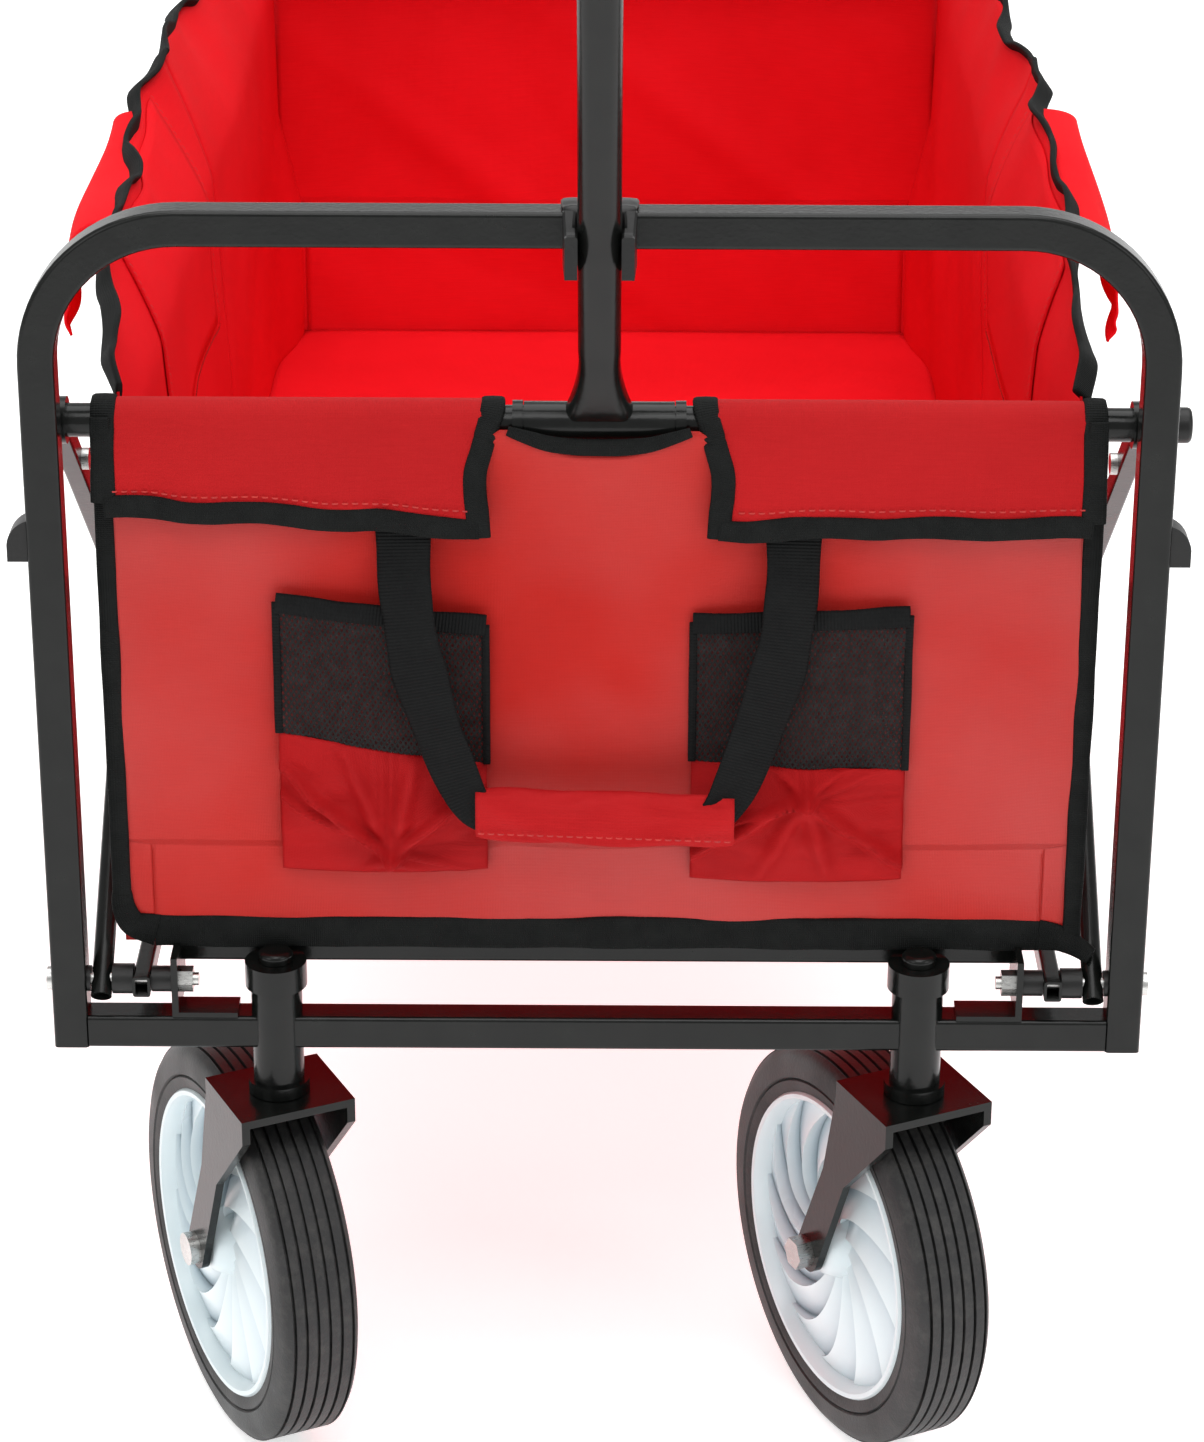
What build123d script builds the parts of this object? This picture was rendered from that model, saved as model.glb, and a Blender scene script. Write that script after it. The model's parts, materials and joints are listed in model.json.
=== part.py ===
"""Folding wagon with a pull handle: two end arches, scissor sides, a fabric bag and four wheels.

The frame has +Y from the front arch to the rear arch, +X to the right when looking along +Y, and
+Z up. The origin is under the middle of the whole wagon, on the ground.
"""
from build123d import *
from math import atan, cos, hypot, radians, sin
import os

os.makedirs("parts", exist_ok=True)

# ---- Driving dimensions, in millimetres and degrees ----

# End arches: square steel tube bent into a hoop, closed by a crossbar.
FRAME_WIDTH = 500.0
TUBE = 16.0
TUBE_WALL = 1.5
TUBE_ROUND = 2.0
TUBE_ROUND_INNER = 0.8
ARCH_TOP = 628.0
ARCH_BOTTOM = 228.0
ARCH_CORNER = 62.0

# Scissor sides: three equal cells between the arches.
CELLS = 3
CELL_LENGTH = 302.0
PIVOT_Z = 260.0
CELL_RISE = 241.0
SPAN = CELLS * CELL_LENGTH
FRONT_Y = -394.9
REAR_Y = FRONT_Y + SPAN

# Lateral planes of the side members, from the frame's middle to each member's middle.
RISING_X = 227.4
FALLING_X = 218.1
FLOOR_FRONT_X = 208.6
FLOOR_REAR_X = 199.8
STRUT_X = 237.5
RISING_DIAMETER = 9.6
FALLING_WIDTH = 7.6
FLOOR_WIDTH = 8.0
STRUT_WIDTH = 9.0
MEMBER_HEIGHT = 10.0
MEMBER_WALL = 1.2
MEMBER_END = 9.0

# Pivots.
PIN_RADIUS = 3.0
RUNNING = 0.05
RIVET_HEAD = 6.0
SHORT_END = 30.0

# Top rails behind the arch legs.
RAIL_RADIUS = 7.5
RAIL_BACK = 19.5
RAIL_Z = 525.0
RAIL_COLLAR = 2.2
CAP_REACH = 259.0

# Floor bars and their brackets.
FLOOR_BAR = 12.0
FLOOR_BAR_Z = 268.0
FLOOR_BAR_BACK = 20.5
BRACKET_X = 195.0
BRACKET_SHEET = 3.0

# Casters and wheels.
WHEEL_DIAMETER = 196.0
TREAD_WIDTH = 38.0
TYRE_SECTION = 22.0
TREAD_RIBS = 5
TREAD_SHOULDER = 4.0
GROOVE_WIDTH = 1.4
GROOVE_DEPTH = 1.6
RIM_DISC = 25.0
RIM_BAND = 5.0
HUB_RADIUS = 14.0
AXLE_RADIUS = 5.0
BOLT_HEAD_RADIUS = 8.0
BOLT_HEAD_HEIGHT = 5.0
NUT_HEIGHT = 8.0
CASTER_X = 147.5
CASTER_TRAIL = 48.0
CASTER_YAW = 25.5
FORK_WIDTH = 56.0
FORK_DEPTH = 48.0
FORK_SHEET = 4.0
FORK_EYE = 9.0
FORK_SKIRT_REAR = 8.0
FORK_SKIRT_FRONT = 12.0
FORK_TOP = 203.0
HOUSING_RADIUS = 11.75
HOUSING_TOP = 270.0
KINGPIN_RADIUS = 6.0
REAR_WHEEL_X = 206.0

# Pull handle.
HANDLE_LEAN = 26.0
HANDLE_LENGTH = 440.0
HANDLE_WIDTH = 18.5
HANDLE_DEPTH = 16.0
HANDLE_ROUND = 6.0
SLEEVE_LENGTH = 66.0
SLEEVE_RADIUS = 9.3
GRIP_WIDTH = 124.0
GRIP_HEIGHT = 76.0
GRIP_BAR = 20.0

# Bag.
CLOTH = 2.0
BAG_HALF = 211.5
PANEL_HALF = 222.0
PANEL_FRONT = 9.9
FLOOR_Z = 274.5
PANEL_BOTTOM = 274.6
PANEL_NOTCH = 326.0
SLEEVE_OUTER = 9.8
SLEEVE_INNER = 7.8
FLAP_BOTTOM = 482.0
NECK_HALF = 44.0
NECK_Z = 507.0
SIDE_TOP = 565.0

# ---- Values worked out from the driving dimensions ----

HALF_WIDTH = FRAME_WIDTH / 2
LEG_X = HALF_WIDTH - TUBE / 2
LEG_INNER = HALF_WIDTH - TUBE
TUBE_HOLLOW = TUBE - 2 * TUBE_WALL
BAR_Z = ARCH_TOP - TUBE / 2
CROSSBAR_Z = ARCH_BOTTOM + TUBE / 2
CROSSBAR_TOP = ARCH_BOTTOM + TUBE
UPPER_Z = PIVOT_Z + CELL_RISE
MIDDLE_Z = PIVOT_Z + CELL_RISE / 2
SLOPE = atan(CELL_RISE / CELL_LENGTH)
WHEEL_RADIUS = WHEEL_DIAMETER / 2
RIM_RADIUS = WHEEL_RADIUS - TYRE_SECTION
RAIL_UNDER = RAIL_Z - SLEEVE_OUTER
SIDES = (-1, 1)


def lower(cell):
    """Lower pivot after so many cells, as (y, z)."""
    return (FRONT_Y + cell * CELL_LENGTH, PIVOT_Z)


def upper(cell):
    """Upper pivot after so many cells, as (y, z)."""
    return (FRONT_Y + cell * CELL_LENGTH, UPPER_Z)


def crossing(cell):
    """Pivot in the middle of a cell, as (y, z)."""
    return (FRONT_Y + (cell + 0.5) * CELL_LENGTH, MIDDLE_Z)


def beyond(start, end, distance):
    """Point past end on the line from start, as (y, z)."""
    length = hypot(end[0] - start[0], end[1] - start[1])
    return tuple(b + (b - a) * distance / length for a, b in zip(start, end))


def save(builder, label):
    """Label a finished piece and write it."""
    builder.part.label = label
    export_step(builder.part, f"parts/{label}.step")


def bore(point, radius, near, far):
    """Cut a round hole along X at (y, z), between two distances from the middle, on each side."""
    for side in SIDES:
        with BuildSketch(Plane.YZ.offset(side * near)) as profile:
            with Locations(point):
                Circle(radius)
        extrude(profile.sketch, amount=side * (far - near), mode=Mode.SUBTRACT)


def rod(point, radius, near, far):
    """Add a round rod along X at (y, z), between two distances from the middle, on each side."""
    for side in SIDES:
        with BuildSketch(Plane.YZ.offset(side * near)) as profile:
            with Locations(point):
                Circle(radius)
        extrude(profile.sketch, amount=side * (far - near))


def ring(point, outer, inner, near, far):
    """Add a ring along X at (y, z), between two distances from the middle, on each side."""
    for side in SIDES:
        with BuildSketch(Plane.YZ.offset(side * near)) as profile:
            with Locations(point):
                Circle(outer)
                Circle(inner, mode=Mode.SUBTRACT)
        extrude(profile.sketch, amount=side * (far - near))


def block(low, high, mode=Mode.ADD):
    """Box between two corners."""
    with BuildSketch(Plane.XY.offset(low[2])) as profile:
        with Locations(((low[0] + high[0]) / 2, (low[1] + high[1]) / 2)):
            Rectangle(high[0] - low[0], high[1] - low[1])
    extrude(profile.sketch, amount=high[2] - low[2], mode=mode)


def paired_block(near, far, y_span, z_span):
    """The same box on the left and on the right, between two distances from the middle."""
    for side in SIDES:
        x_low, x_high = sorted((side * near, side * far))
        block((x_low, y_span[0], z_span[0]), (x_high, y_span[1], z_span[1]))


# ---- End arches ----

def arch(label, y):
    """Hoop of square tube that opens downwards, with a bolt hole across each leg."""
    with BuildPart() as piece:
        with BuildLine(Plane.XZ.offset(-y)) as path:
            FilletPolyline(
                (-LEG_X, ARCH_BOTTOM),
                (-LEG_X, BAR_Z),
                (LEG_X, BAR_Z),
                (LEG_X, ARCH_BOTTOM),
                radius=ARCH_CORNER,
            )
        with BuildSketch(Plane(origin=(-LEG_X, y, ARCH_BOTTOM), z_dir=(0, 0, 1))):
            RectangleRounded(TUBE, TUBE, TUBE_ROUND)
            RectangleRounded(TUBE_HOLLOW, TUBE_HOLLOW, TUBE_ROUND_INNER, mode=Mode.SUBTRACT)
        sweep(path=path.wires()[0])
        bore((y, PIVOT_Z), PIN_RADIUS + RUNNING, LEG_INNER - 1, HALF_WIDTH + 1)
    save(piece, label)


def crossbar(label, y, sockets):
    """Square tube between the legs' lower ends, with a round socket for each caster housing."""
    with BuildPart() as piece:
        with BuildSketch(Plane.YZ.offset(-LEG_INNER)):
            with Locations((y, CROSSBAR_Z)):
                RectangleRounded(TUBE, TUBE, TUBE_ROUND)
                RectangleRounded(TUBE_HOLLOW, TUBE_HOLLOW, TUBE_ROUND_INNER, mode=Mode.SUBTRACT)
        extrude(amount=2 * LEG_INNER)
        if sockets:
            with BuildSketch(Plane.XY.offset(ARCH_BOTTOM)):
                with Locations((-CASTER_X, y), (CASTER_X, y)):
                    Circle(HOUSING_RADIUS)
            extrude(amount=TUBE, mode=Mode.SUBTRACT)
    save(piece, label)


def floor_bar(label, y):
    """Square tube that carries one end of the bag's floor, between the two brackets."""
    with BuildPart() as piece:
        with BuildSketch(Plane.YZ.offset(BRACKET_SHEET - BRACKET_X)):
            with Locations((y, FLOOR_BAR_Z)):
                RectangleRounded(FLOOR_BAR, FLOOR_BAR, 1.5)
                inner = FLOOR_BAR - 2 * MEMBER_WALL
                RectangleRounded(inner, inner, 0.6, mode=Mode.SUBTRACT)
        extrude(amount=2 * (BRACKET_X - BRACKET_SHEET))
    save(piece, label)


def pivot_brackets(label, y, inward):
    """Bent sheet brackets on the crossbar, which hold the pivot bolts' inner ends."""
    plate_y = sorted((y - inward * TUBE / 2, y + inward * (FLOOR_BAR_BACK + FLOOR_BAR / 2)))
    plate_top = FLOOR_BAR_Z + FLOOR_BAR / 2
    with BuildPart() as piece:
        paired_block(BRACKET_X - BRACKET_SHEET, BRACKET_X, plate_y, (CROSSBAR_TOP, plate_top))
        flange_y = (y - TUBE / 2, y + TUBE / 2)
        flange_z = (CROSSBAR_TOP, CROSSBAR_TOP + 2.5)
        paired_block(BRACKET_X - 30, BRACKET_X - BRACKET_SHEET, flange_y, flange_z)
        bore((y, PIVOT_Z), PIN_RADIUS + RUNNING, BRACKET_X - BRACKET_SHEET - 1, BRACKET_X + 1)
    save(piece, label)


def pivot_bolts(label, y):
    """Long bolts through the legs' pivots, each with a low head outside and a lock nut inside."""
    nut_face = BRACKET_X - BRACKET_SHEET
    with BuildPart() as piece:
        rod((y, PIVOT_Z), PIN_RADIUS, nut_face - 9, HALF_WIDTH + 0.5)
        rod((y, PIVOT_Z), 5.5, HALF_WIDTH, HALF_WIDTH + 2.5)
        for side in SIDES:
            with BuildSketch(Plane.YZ.offset(side * nut_face)):
                with Locations((y, PIVOT_Z)):
                    RegularPolygon(6, 6)
            extrude(amount=-side * 6.5)
    save(piece, label)


def pivot_spacers(label, y, gaps):
    """Plastic spacers that fill the gaps between the members on each pivot bolt."""
    with BuildPart() as piece:
        for near, far, radius in gaps:
            ring((y, PIVOT_Z), radius, PIN_RADIUS + RUNNING, near, far)
    save(piece, label)


arch("front_arch", FRONT_Y)
arch("rear_arch", REAR_Y)
crossbar("front_crossbar", FRONT_Y, True)
crossbar("rear_crossbar", REAR_Y, False)
floor_bar("front_floor_bar", FRONT_Y + FLOOR_BAR_BACK)
floor_bar("rear_floor_bar", REAR_Y - FLOOR_BAR_BACK)
pivot_brackets("front_pivot_brackets", FRONT_Y, 1)
pivot_brackets("rear_pivot_brackets", REAR_Y, -1)
pivot_bolts("front_pivot_bolts", FRONT_Y)
pivot_bolts("rear_pivot_bolts", REAR_Y)

GAP = 0.2
pivot_spacers(
    "front_pivot_spacers",
    FRONT_Y,
    [
        (RISING_X + RISING_DIAMETER / 2 + GAP, LEG_INNER, 6.0),
        (FLOOR_FRONT_X + FLOOR_WIDTH / 2 + GAP, RISING_X - RISING_DIAMETER / 2 - GAP, 7.0),
        (BRACKET_X, FLOOR_FRONT_X - FLOOR_WIDTH / 2 - GAP, 6.0),
    ],
)
pivot_spacers(
    "rear_pivot_spacers",
    REAR_Y,
    [
        (FALLING_X + FALLING_WIDTH / 2 + GAP, LEG_INNER, 7.0),
        (FLOOR_REAR_X + FLOOR_WIDTH / 2 + GAP, FALLING_X - FALLING_WIDTH / 2 - GAP, 7.0),
        (BRACKET_X, FLOOR_REAR_X - FLOOR_WIDTH / 2 - GAP, 6.0),
    ],
)


# ---- Top rails ----

def rail(label, leg_y, inward, cap_side):
    """Round rail behind the legs, held off them by short welded saddles."""
    y = leg_y + inward * RAIL_BACK
    low = -HALF_WIDTH
    high = HALF_WIDTH
    with BuildPart() as piece:
        with BuildSketch(Plane.YZ.offset(low)):
            with Locations((y, RAIL_Z)):
                Circle(RAIL_RADIUS)
                Circle(RAIL_RADIUS - TUBE_WALL, mode=Mode.SUBTRACT)
        extrude(amount=high - low)
        saddle_y = sorted((leg_y + inward * TUBE / 2, y - inward * (RAIL_RADIUS - 1)))
        paired_block(LEG_INNER + 9.5, HALF_WIDTH, saddle_y, (RAIL_Z - 5, RAIL_Z + 5))
        if cap_side:
            ring((y, RAIL_Z), RAIL_RADIUS + RAIL_COLLAR, RAIL_RADIUS, SLEEVE_LENGTH / 2 + 0.4, 38)
    save(piece, label)


rail("front_rail", FRONT_Y, 1, 1)
rail("rear_rail", REAR_Y, -1, 0)

# Plastic caps on the front rail's ends: a long one on one side and a flush plug on the other.
with BuildPart() as rail_end_caps:
    cap_y = FRONT_Y + RAIL_BACK
    with BuildSketch(Plane.YZ.offset(HALF_WIDTH)):
        with Locations((cap_y, RAIL_Z)):
            Circle(RAIL_RADIUS + 0.4)
    extrude(amount=CAP_REACH - HALF_WIDTH)
    fillet(rail_end_caps.faces().sort_by(Axis.X)[-1].edges(), 2)
    with BuildSketch(Plane.YZ.offset(-HALF_WIDTH)):
        with Locations((cap_y, RAIL_Z)):
            Circle(RAIL_RADIUS)
    extrude(amount=-1.5)
save(rail_end_caps, "rail_end_caps")

# Black bumpers on the outer faces of the front legs.
BUMPER_LOW = 468.0
BUMPER_HIGH = 487.0
with BuildPart() as leg_stops:
    for side in SIDES:
        with BuildSketch(Plane.XZ.offset(-(FRONT_Y + 6))):
            with BuildLine():
                Polyline(
                    (side * HALF_WIDTH, BUMPER_HIGH),
                    (side * HALF_WIDTH, BUMPER_LOW),
                    (side * CAP_REACH, BUMPER_LOW),
                    (side * CAP_REACH, BUMPER_LOW + 8),
                )
                ThreePointArc(
                    (side * CAP_REACH, BUMPER_LOW + 8),
                    (side * (CAP_REACH - 3), BUMPER_LOW + 15),
                    (side * HALF_WIDTH, BUMPER_HIGH),
                )
            make_face()
        extrude(amount=12)
save(leg_stops, "leg_stops")


# ---- Scissor sides and floor links ----

def member(label, start, end, lateral, width, holes, round_tube=False):
    """Straight hollow tubes on the left and right from one (y, z) to another, cross-drilled."""
    run = hypot(end[0] - start[0], end[1] - start[1])
    along = Vector(0, (end[0] - start[0]) / run, (end[1] - start[1]) / run)
    with BuildPart() as piece:
        for side in SIDES:
            first = Vector(side * lateral, start[0], start[1]) - along * MEMBER_END
            with BuildSketch(Plane(origin=first, x_dir=(1, 0, 0), z_dir=along)):
                if round_tube:
                    Circle(width / 2)
                    Circle(width / 2 - MEMBER_WALL, mode=Mode.SUBTRACT)
                else:
                    RectangleRounded(width, MEMBER_HEIGHT, 1.2)
                    inner_width = width - 2 * MEMBER_WALL
                    inner_height = MEMBER_HEIGHT - 2 * MEMBER_WALL
                    RectangleRounded(inner_width, inner_height, 0.5, mode=Mode.SUBTRACT)
            extrude(amount=run + 2 * MEMBER_END)
        for hole in holes:
            bore(hole, PIN_RADIUS + RUNNING, lateral - width, lateral + width)
    save(piece, label)


def rivets(label, points):
    """Rivets through one rising and one falling member, with a thin head at each side."""
    outer = RISING_X + RISING_DIAMETER / 2
    inner = FALLING_X - FALLING_WIDTH / 2
    with BuildPart() as piece:
        for point in points:
            rod(point, PIN_RADIUS, inner - 0.5, outer + 0.2)
            rod(point, RIVET_HEAD, inner - 1.2, inner - 0.1)
            rod(point, RIVET_HEAD - 1, outer + 0.05, outer + 0.45)
    save(piece, label)


member(
    "rising_brace_front",
    lower(0),
    upper(1),
    RISING_X,
    RISING_DIAMETER,
    [lower(0), crossing(0), upper(1)],
    round_tube=True,
)
member(
    "falling_brace_front",
    beyond(lower(1), crossing(0), SHORT_END),
    lower(1),
    FALLING_X,
    FALLING_WIDTH,
    [crossing(0), lower(1)],
)
member(
    "rising_brace_middle",
    lower(1),
    upper(2),
    RISING_X,
    RISING_DIAMETER,
    [lower(1), crossing(1), upper(2)],
    round_tube=True,
)
member(
    "falling_brace_middle",
    upper(1),
    lower(2),
    FALLING_X,
    FALLING_WIDTH,
    [upper(1), crossing(1), lower(2)],
)
member(
    "rising_brace_rear",
    lower(2),
    beyond(lower(2), crossing(2), SHORT_END),
    RISING_X,
    RISING_DIAMETER,
    [lower(2), crossing(2)],
    round_tube=True,
)
member(
    "falling_brace_rear",
    upper(2),
    lower(3),
    FALLING_X,
    FALLING_WIDTH,
    [upper(2), crossing(2), lower(3)],
)
rivets("brace_rivets_front", [crossing(0), upper(1)])
rivets("brace_rivets_rising", [lower(1), upper(2)])
rivets("brace_rivets_falling", [crossing(1), lower(2)])
rivets("brace_rivets_rear", [crossing(2)])

# Floor links: the front pair reaches back to the middle, the rear pair forward to the middle.
MIDDLE = (FRONT_Y + SPAN / 2, PIVOT_Z)
member("floor_link_front", lower(0), MIDDLE, FLOOR_FRONT_X, FLOOR_WIDTH, [lower(0), MIDDLE])
member("floor_link_rear", MIDDLE, lower(3), FLOOR_REAR_X, FLOOR_WIDTH, [MIDDLE, lower(3)])


# ---- Rail struts: from an eye on the rail down to the crossing of the end cell ----

STRUT_EYE = 10.5
STRUT_LENGTH = 199.6


def strut(label, leg_y, inward):
    """Square tubes that hang from the rail by an eye and run down beside the rising brace."""
    y = leg_y + inward * RAIL_BACK
    along = Vector(0, inward * cos(SLOPE), -sin(SLOPE))
    with BuildPart() as piece:
        for side in SIDES:
            first = Vector(side * STRUT_X, y, RAIL_Z) + along * (RAIL_RADIUS + 1)
            with BuildSketch(Plane(origin=first, x_dir=(1, 0, 0), z_dir=along)):
                RectangleRounded(STRUT_WIDTH, MEMBER_HEIGHT, 1.2)
            extrude(amount=STRUT_LENGTH - RAIL_RADIUS - 1)
        near = STRUT_X - STRUT_WIDTH / 2
        far = STRUT_X + STRUT_WIDTH / 2
        rod((y, RAIL_Z), STRUT_EYE, near, far)
        bore((y, RAIL_Z), RAIL_RADIUS + RUNNING, near - 1, far + 1)
        bolt = (y + along.Y * BOLT_REACH, RAIL_Z + along.Z * BOLT_REACH)
        bore(bolt, PIN_RADIUS, near - 1, far + 1)
    save(piece, label)


BOLT_REACH = 54.0
strut("rail_strut_front", FRONT_Y, 1)
strut("rail_strut_rear", REAR_Y, -1)

# Bolts across the front struts: a domed head inside and a black spacer outside.
with BuildPart() as strut_bolts_front:
    bolt_point = (
        FRONT_Y + RAIL_BACK + BOLT_REACH * cos(SLOPE),
        RAIL_Z - BOLT_REACH * sin(SLOPE),
    )
    strut_near = STRUT_X - STRUT_WIDTH / 2
    strut_far = STRUT_X + STRUT_WIDTH / 2
    rod(bolt_point, PIN_RADIUS, strut_near - 1, strut_far + 1)
    rod(bolt_point, 5.0, strut_near - 3.2, strut_near)
    rod(bolt_point, 5.5, strut_far, strut_far + 7)
save(strut_bolts_front, "strut_bolts_front")


# ---- Casters ----

def caster_plane(side):
    """Level plane at the swivel axis, with x along the axle and y away from the pull."""
    yaw = radians(CASTER_YAW)
    origin = (side * CASTER_X, FRONT_Y, 0)
    return Plane(origin=origin, x_dir=(cos(yaw), sin(yaw), 0), z_dir=(0, 0, 1))


def side_plane(base, distance):
    """Upright plane across the axle at a distance along it, with x to the rear and y up."""
    origin = base.origin + base.x_dir * distance
    return Plane(origin=origin, x_dir=base.y_dir, z_dir=base.x_dir)


def fork(base, top, trail):
    """Sheet fork: a flat top plate with two legs that taper down to the axle."""
    half_width = FORK_WIDTH / 2
    half_depth = FORK_DEPTH / 2
    waist_z = (top + WHEEL_RADIUS) / 2
    waist_rear = (half_depth + trail + FORK_EYE) / 2 - 6
    waist_front = 0.55 * (trail - FORK_EYE) - 0.45 * half_depth + 3.5
    with BuildPart() as piece:
        with BuildSketch(base.offset(top - FORK_SHEET)):
            RectangleRounded(FORK_WIDTH, FORK_DEPTH, 3)
        extrude(amount=FORK_SHEET)
        for distance in (-half_width, half_width - FORK_SHEET):
            with BuildSketch(side_plane(base, distance)):
                with BuildLine():
                    Polyline(
                        (-half_depth, top),
                        (half_depth, top),
                        (half_depth, top - FORK_SKIRT_REAR),
                        (waist_rear, waist_z),
                        (trail + FORK_EYE, WHEEL_RADIUS + 3),
                    )
                    ThreePointArc(
                        (trail + FORK_EYE, WHEEL_RADIUS + 3),
                        (trail + 4, WHEEL_RADIUS - 10),
                        (trail - FORK_EYE, WHEEL_RADIUS - 5),
                    )
                    Polyline(
                        (trail - FORK_EYE, WHEEL_RADIUS - 5),
                        (waist_front, waist_z),
                        (-half_depth, top - FORK_SKIRT_FRONT),
                        (-half_depth, top),
                    )
                make_face()
                with Locations((trail, WHEEL_RADIUS)):
                    Circle(AXLE_RADIUS, mode=Mode.SUBTRACT)
            extrude(amount=FORK_SHEET)
        if trail:
            with BuildSketch(base.offset(top - FORK_SHEET)):
                Circle(KINGPIN_RADIUS)
            extrude(amount=FORK_SHEET, mode=Mode.SUBTRACT)
    return piece


def axle_bolt(base, trail, head_side):
    """Bolt across a fork through the wheel, with a domed head and a lock nut."""
    half_width = FORK_WIDTH / 2
    with BuildPart() as piece:
        with BuildSketch(side_plane(base, -half_width - 3)):
            with Locations((trail, WHEEL_RADIUS)):
                Circle(AXLE_RADIUS)
        extrude(amount=FORK_WIDTH + 6)
        with BuildSketch(side_plane(base, head_side * half_width)):
            with Locations((trail, WHEEL_RADIUS)):
                Circle(BOLT_HEAD_RADIUS)
        extrude(amount=head_side * BOLT_HEAD_HEIGHT)
        with BuildSketch(side_plane(base, -head_side * half_width)):
            with Locations((trail, WHEEL_RADIUS)):
                RegularPolygon(BOLT_HEAD_RADIUS, 6)
        extrude(amount=-head_side * NUT_HEIGHT)
    return piece


def tyre(label, base, trail):
    """Rubber tyre with a flat tread in parallel ribs and rounded shoulders."""
    half = TREAD_WIDTH / 2
    rib = (TREAD_WIDTH - 2 * TREAD_SHOULDER) / TREAD_RIBS
    with BuildPart() as piece:
        with BuildSketch(side_plane(base, -half)):
            with Locations((trail, WHEEL_RADIUS)):
                Circle(WHEEL_RADIUS)
                Circle(RIM_RADIUS, mode=Mode.SUBTRACT)
        extrude(amount=TREAD_WIDTH)
        fillet(piece.edges().filter_by(GeomType.CIRCLE).group_by(SortBy.RADIUS)[-1], TREAD_SHOULDER)
        for index in range(TREAD_RIBS + 1):
            offset = (index - TREAD_RIBS / 2) * rib - GROOVE_WIDTH / 2
            with BuildSketch(side_plane(base, offset)):
                with Locations((trail, WHEEL_RADIUS)):
                    Circle(WHEEL_RADIUS + 1)
                    Circle(WHEEL_RADIUS - GROOVE_DEPTH, mode=Mode.SUBTRACT)
            extrude(amount=GROOVE_WIDTH, mode=Mode.SUBTRACT)
    save(piece, label)


def rim(label, base, trail):
    """Moulded rim: a hub tube, a vaned disc and an outer ring that holds the tyre."""
    half = TREAD_WIDTH / 2
    with BuildPart() as piece:
        with BuildSketch(side_plane(base, -half + 1)):
            with Locations((trail, WHEEL_RADIUS)):
                Circle(RIM_RADIUS)
                Circle(RIM_RADIUS - RIM_BAND, mode=Mode.SUBTRACT)
        extrude(amount=TREAD_WIDTH - 2)
        with BuildSketch(side_plane(base, -RIM_DISC / 2)):
            with Locations((trail, WHEEL_RADIUS)):
                Circle(RIM_RADIUS - RIM_BAND + 1)
        extrude(amount=RIM_DISC)
        with BuildSketch(side_plane(base, -half - 3)):
            with Locations((trail, WHEEL_RADIUS)):
                Circle(HUB_RADIUS)
        extrude(amount=TREAD_WIDTH + 6)
        with BuildSketch(side_plane(base, -half - 4)):
            with Locations((trail, WHEEL_RADIUS)):
                Circle(AXLE_RADIUS + RUNNING)
        extrude(amount=TREAD_WIDTH + 8, mode=Mode.SUBTRACT)
    save(piece, label)


for side, name in ((-1, "left"), (1, "right")):
    plane = caster_plane(side)
    save(fork(plane, FORK_TOP, CASTER_TRAIL), f"fork_{name}")
    save(axle_bolt(plane, CASTER_TRAIL, side), f"caster_axle_{name}")
    tyre(f"tyre_front_{name}", plane, CASTER_TRAIL)
    rim(f"rim_front_{name}", plane, CASTER_TRAIL)
    with BuildPart() as kingpin:
        with BuildSketch(plane.offset(FORK_TOP - FORK_SHEET)):
            Circle(KINGPIN_RADIUS)
        extrude(amount=HOUSING_TOP + 1 - FORK_TOP + FORK_SHEET)
        with BuildSketch(plane.offset(HOUSING_TOP + 0.3)):
            Circle(8)
        extrude(amount=5)
        fillet(kingpin.faces().sort_by(Axis.Z)[-1].edges(), 2.5)
    save(kingpin, f"kingpin_{name}")

# Caster housings: upright tubes through the front crossbar, with a collar and a flange.
with BuildPart() as caster_housings:
    centres = [(-CASTER_X, FRONT_Y), (CASTER_X, FRONT_Y)]
    foot = FORK_TOP + 0.5
    for level, radius, height in (
        (foot, HOUSING_RADIUS, HOUSING_TOP - foot),
        (foot, 14.2, 6.0),
        (HOUSING_TOP - 12, 14.2, 12.0),
    ):
        with BuildSketch(Plane.XY.offset(level)):
            with Locations(*centres):
                Circle(radius)
        extrude(amount=height)
    with BuildSketch(Plane.XY.offset(foot)):
        with Locations(*centres):
            Circle(KINGPIN_RADIUS + RUNNING)
    extrude(amount=HOUSING_TOP - foot, mode=Mode.SUBTRACT)
save(caster_housings, "caster_housings")

# Rear wheels: fixed forks under the rear crossbar.
rear_planes = {}
for side, name in ((-1, "left"), (1, "right")):
    rear_planes[name] = Plane(origin=(side * REAR_WHEEL_X, REAR_Y, 0), x_dir=(1, 0, 0), z_dir=(0, 0, 1))
    tyre(f"tyre_rear_{name}", rear_planes[name], 0)
    rim(f"rim_rear_{name}", rear_planes[name], 0)

left_fork = fork(rear_planes["left"], ARCH_BOTTOM, 0)
right_fork = fork(rear_planes["right"], ARCH_BOTTOM, 0)
with BuildPart() as rear_wheel_forks:
    add(left_fork.part)
    add(right_fork.part)
save(rear_wheel_forks, "rear_wheel_forks")

left_axle = axle_bolt(rear_planes["left"], 0, -1)
right_axle = axle_bolt(rear_planes["right"], 0, 1)
with BuildPart() as rear_axles:
    add(left_axle.part)
    add(right_axle.part)
save(rear_axles, "rear_axles")


# ---- Pull handle ----

LEAN = radians(HANDLE_LEAN)
HANDLE_PIVOT = Vector(0, FRONT_Y + RAIL_BACK, RAIL_Z)
HANDLE_UP = Vector(0, -sin(LEAN), cos(LEAN))
NECK_START = 7.0
NECK_END = 46.0


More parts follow.
